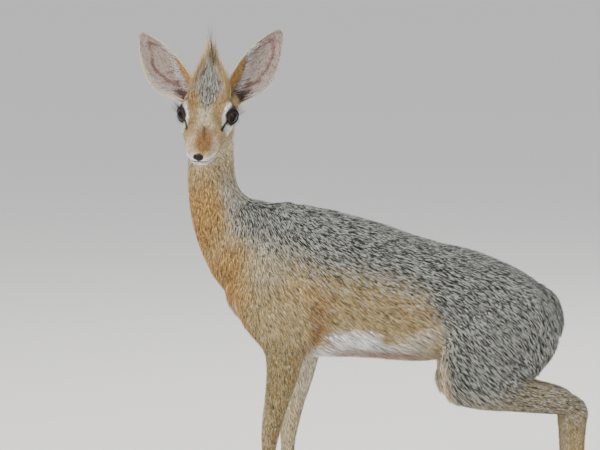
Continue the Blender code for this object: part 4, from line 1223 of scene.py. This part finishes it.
nose_material, nose_tree, nose_shader = new_material("wet_nose", (0.008, 0.007, 0.007), 0.34, 0.25)
grain(nose_tree, nose_shader, 2200.0, 1.0, 0.5, 0.0002)
skin_tree = BVHTree.FromPolygons(
    [Vector(place) for place in places],
    [tuple(face.vertices) for face in mesh.polygons],
)
nose = bmesh.new()
nose_rows = []
nose_places = [2.0 * number / nose_steps - 1.0 for number in range(nose_steps + 1)]
for rise in nose_places:
    row = []
    for across in nose_places:
        disc_out = across * math.sqrt(1.0 - 0.5 * rise * rise)
        disc_up = rise * math.sqrt(1.0 - 0.5 * across * across)
        far = math.hypot(disc_out, disc_up)
        flat_out = disc_out * nose_half[0] * (1.0 + 0.16 * disc_up)
        flat_up = disc_up * nose_half[1] + 0.0006 * abs(disc_out)
        start = on_head(nose_middle[0] + flat_out, ray_start, nose_middle[1] + flat_up)
        hit = skin_tree.ray_cast(start, -head_along)[0]
        turned_out = abs(flat_out) - nostril_place[0]
        turned_up = flat_up - nostril_place[1]
        along_slot = turned_out * math.cos(nostril_turn) + turned_up * math.sin(nostril_turn)
        over_slot = turned_up * math.cos(nostril_turn) - turned_out * math.sin(nostril_turn)
        slot_share = (along_slot / nostril_half[0]) ** 2 + (over_slot / nostril_half[1]) ** 2
        sink = nostril_depth * math.exp(-slot_share ** 1.5)
        groove = groove_depth * math.exp(-(flat_out / groove_half) ** 2) if flat_up < 0.002 else 0.0
        proud = nose_proud * (1.0 - far ** 4) - nose_edge_sink * far ** 6 - sink - groove
        row.append(nose.verts.new(hit + head_along * proud))
    nose_rows.append(row)
bridge(nose, nose_rows)
finished("nose_pad", nose, nose_material)


# The hooves: two narrow black-brown claws on each foot with a pair of small dewclaws behind, horn
# that shows the rings of its growth and is worn paler along the edge it stands on.
dewclaw_width = (0.62, 0.86)
dewclaw_narrowing = 0.50
sharp_from = math.radians(32.0)
flat_within = math.radians(3.0)
bevel_width = 0.0007
horn_material, horn_tree, horn_shader = new_material("hoof_horn", None, 0.38)
horn_space = object_space(horn_tree)
horn_level = node_in(horn_tree, "ShaderNodeSeparateXYZ", {0: horn_space}).node.outputs["Z"]
horn_level = node_in(
    horn_tree, "ShaderNodeMapRange", {"Value": horn_level, "From Min": 0.0005, "From Max": 0.0060},
)
horn_rings = node_in(
    horn_tree, "ShaderNodeTexWave",
    {"Vector": horn_space, "Scale": 160.0, "Distortion": 1.2, "Detail": 2.0}, bands_direction="Z",
).node.outputs["Fac"]
ramp(horn_tree, horn_level, horn_shader, (0.085, 0.070, 0.055), (0.020, 0.017, 0.015))
relief(horn_tree, horn_shader, horn_rings, 0.25, 0.0002)

hoof_nodes = [
    f"{kind}_{end}_{side}_{claw}"
    for kind in ("hoof", "dewclaw")
    for end in ("front", "hind")
    for side in ("left", "right")
    for claw in ("outer", "inner")
]
for name in hoof_nodes:
    if name in dewclaw_nodes:
        claw = bmesh.new()
        low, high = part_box(name)
        half = (high - low) / 2
        bmesh.ops.create_uvsphere(claw, u_segments=24, v_segments=16, radius=1.0)
        for vert in claw.verts:
            lower = max(0.0, -vert.co.z)
            narrow = 1.0 - dewclaw_narrowing * lower ** 2
            spot = Vector([vert.co[k] * half[k] for k in range(3)])
            spot.x = spot.x * dewclaw_width[0] * narrow + half.x * (0.10 * lower - 0.22)
            spot.y *= dewclaw_width[1] * narrow
            vert.co = (low + high) / 2 + spot
    else:
        claw = welded(name)
        bmesh.ops.dissolve_limit(claw, angle_limit=flat_within, verts=claw.verts, edges=claw.edges)
        sharp = [edge for edge in claw.edges if edge.calc_face_angle(0.0) > sharp_from]
        bmesh.ops.bevel(
            claw, geom=sharp, offset=bevel_width, segments=2, profile=0.5, affect="EDGES",
            clamp_overlap=True,
        )
        rough_claw = placed("rough_claw", mesh_from(claw, "rough_claw"))
        rounding = rough_claw.modifiers.new("rounding", "SUBSURF")
        rounding.levels = rounding.render_levels = 2
        claw = bmesh.new()
        claw.from_mesh(applied(rough_claw).data)
        drop(rough_claw)
    finished("horn_" + name, claw, horn_material, (name,))
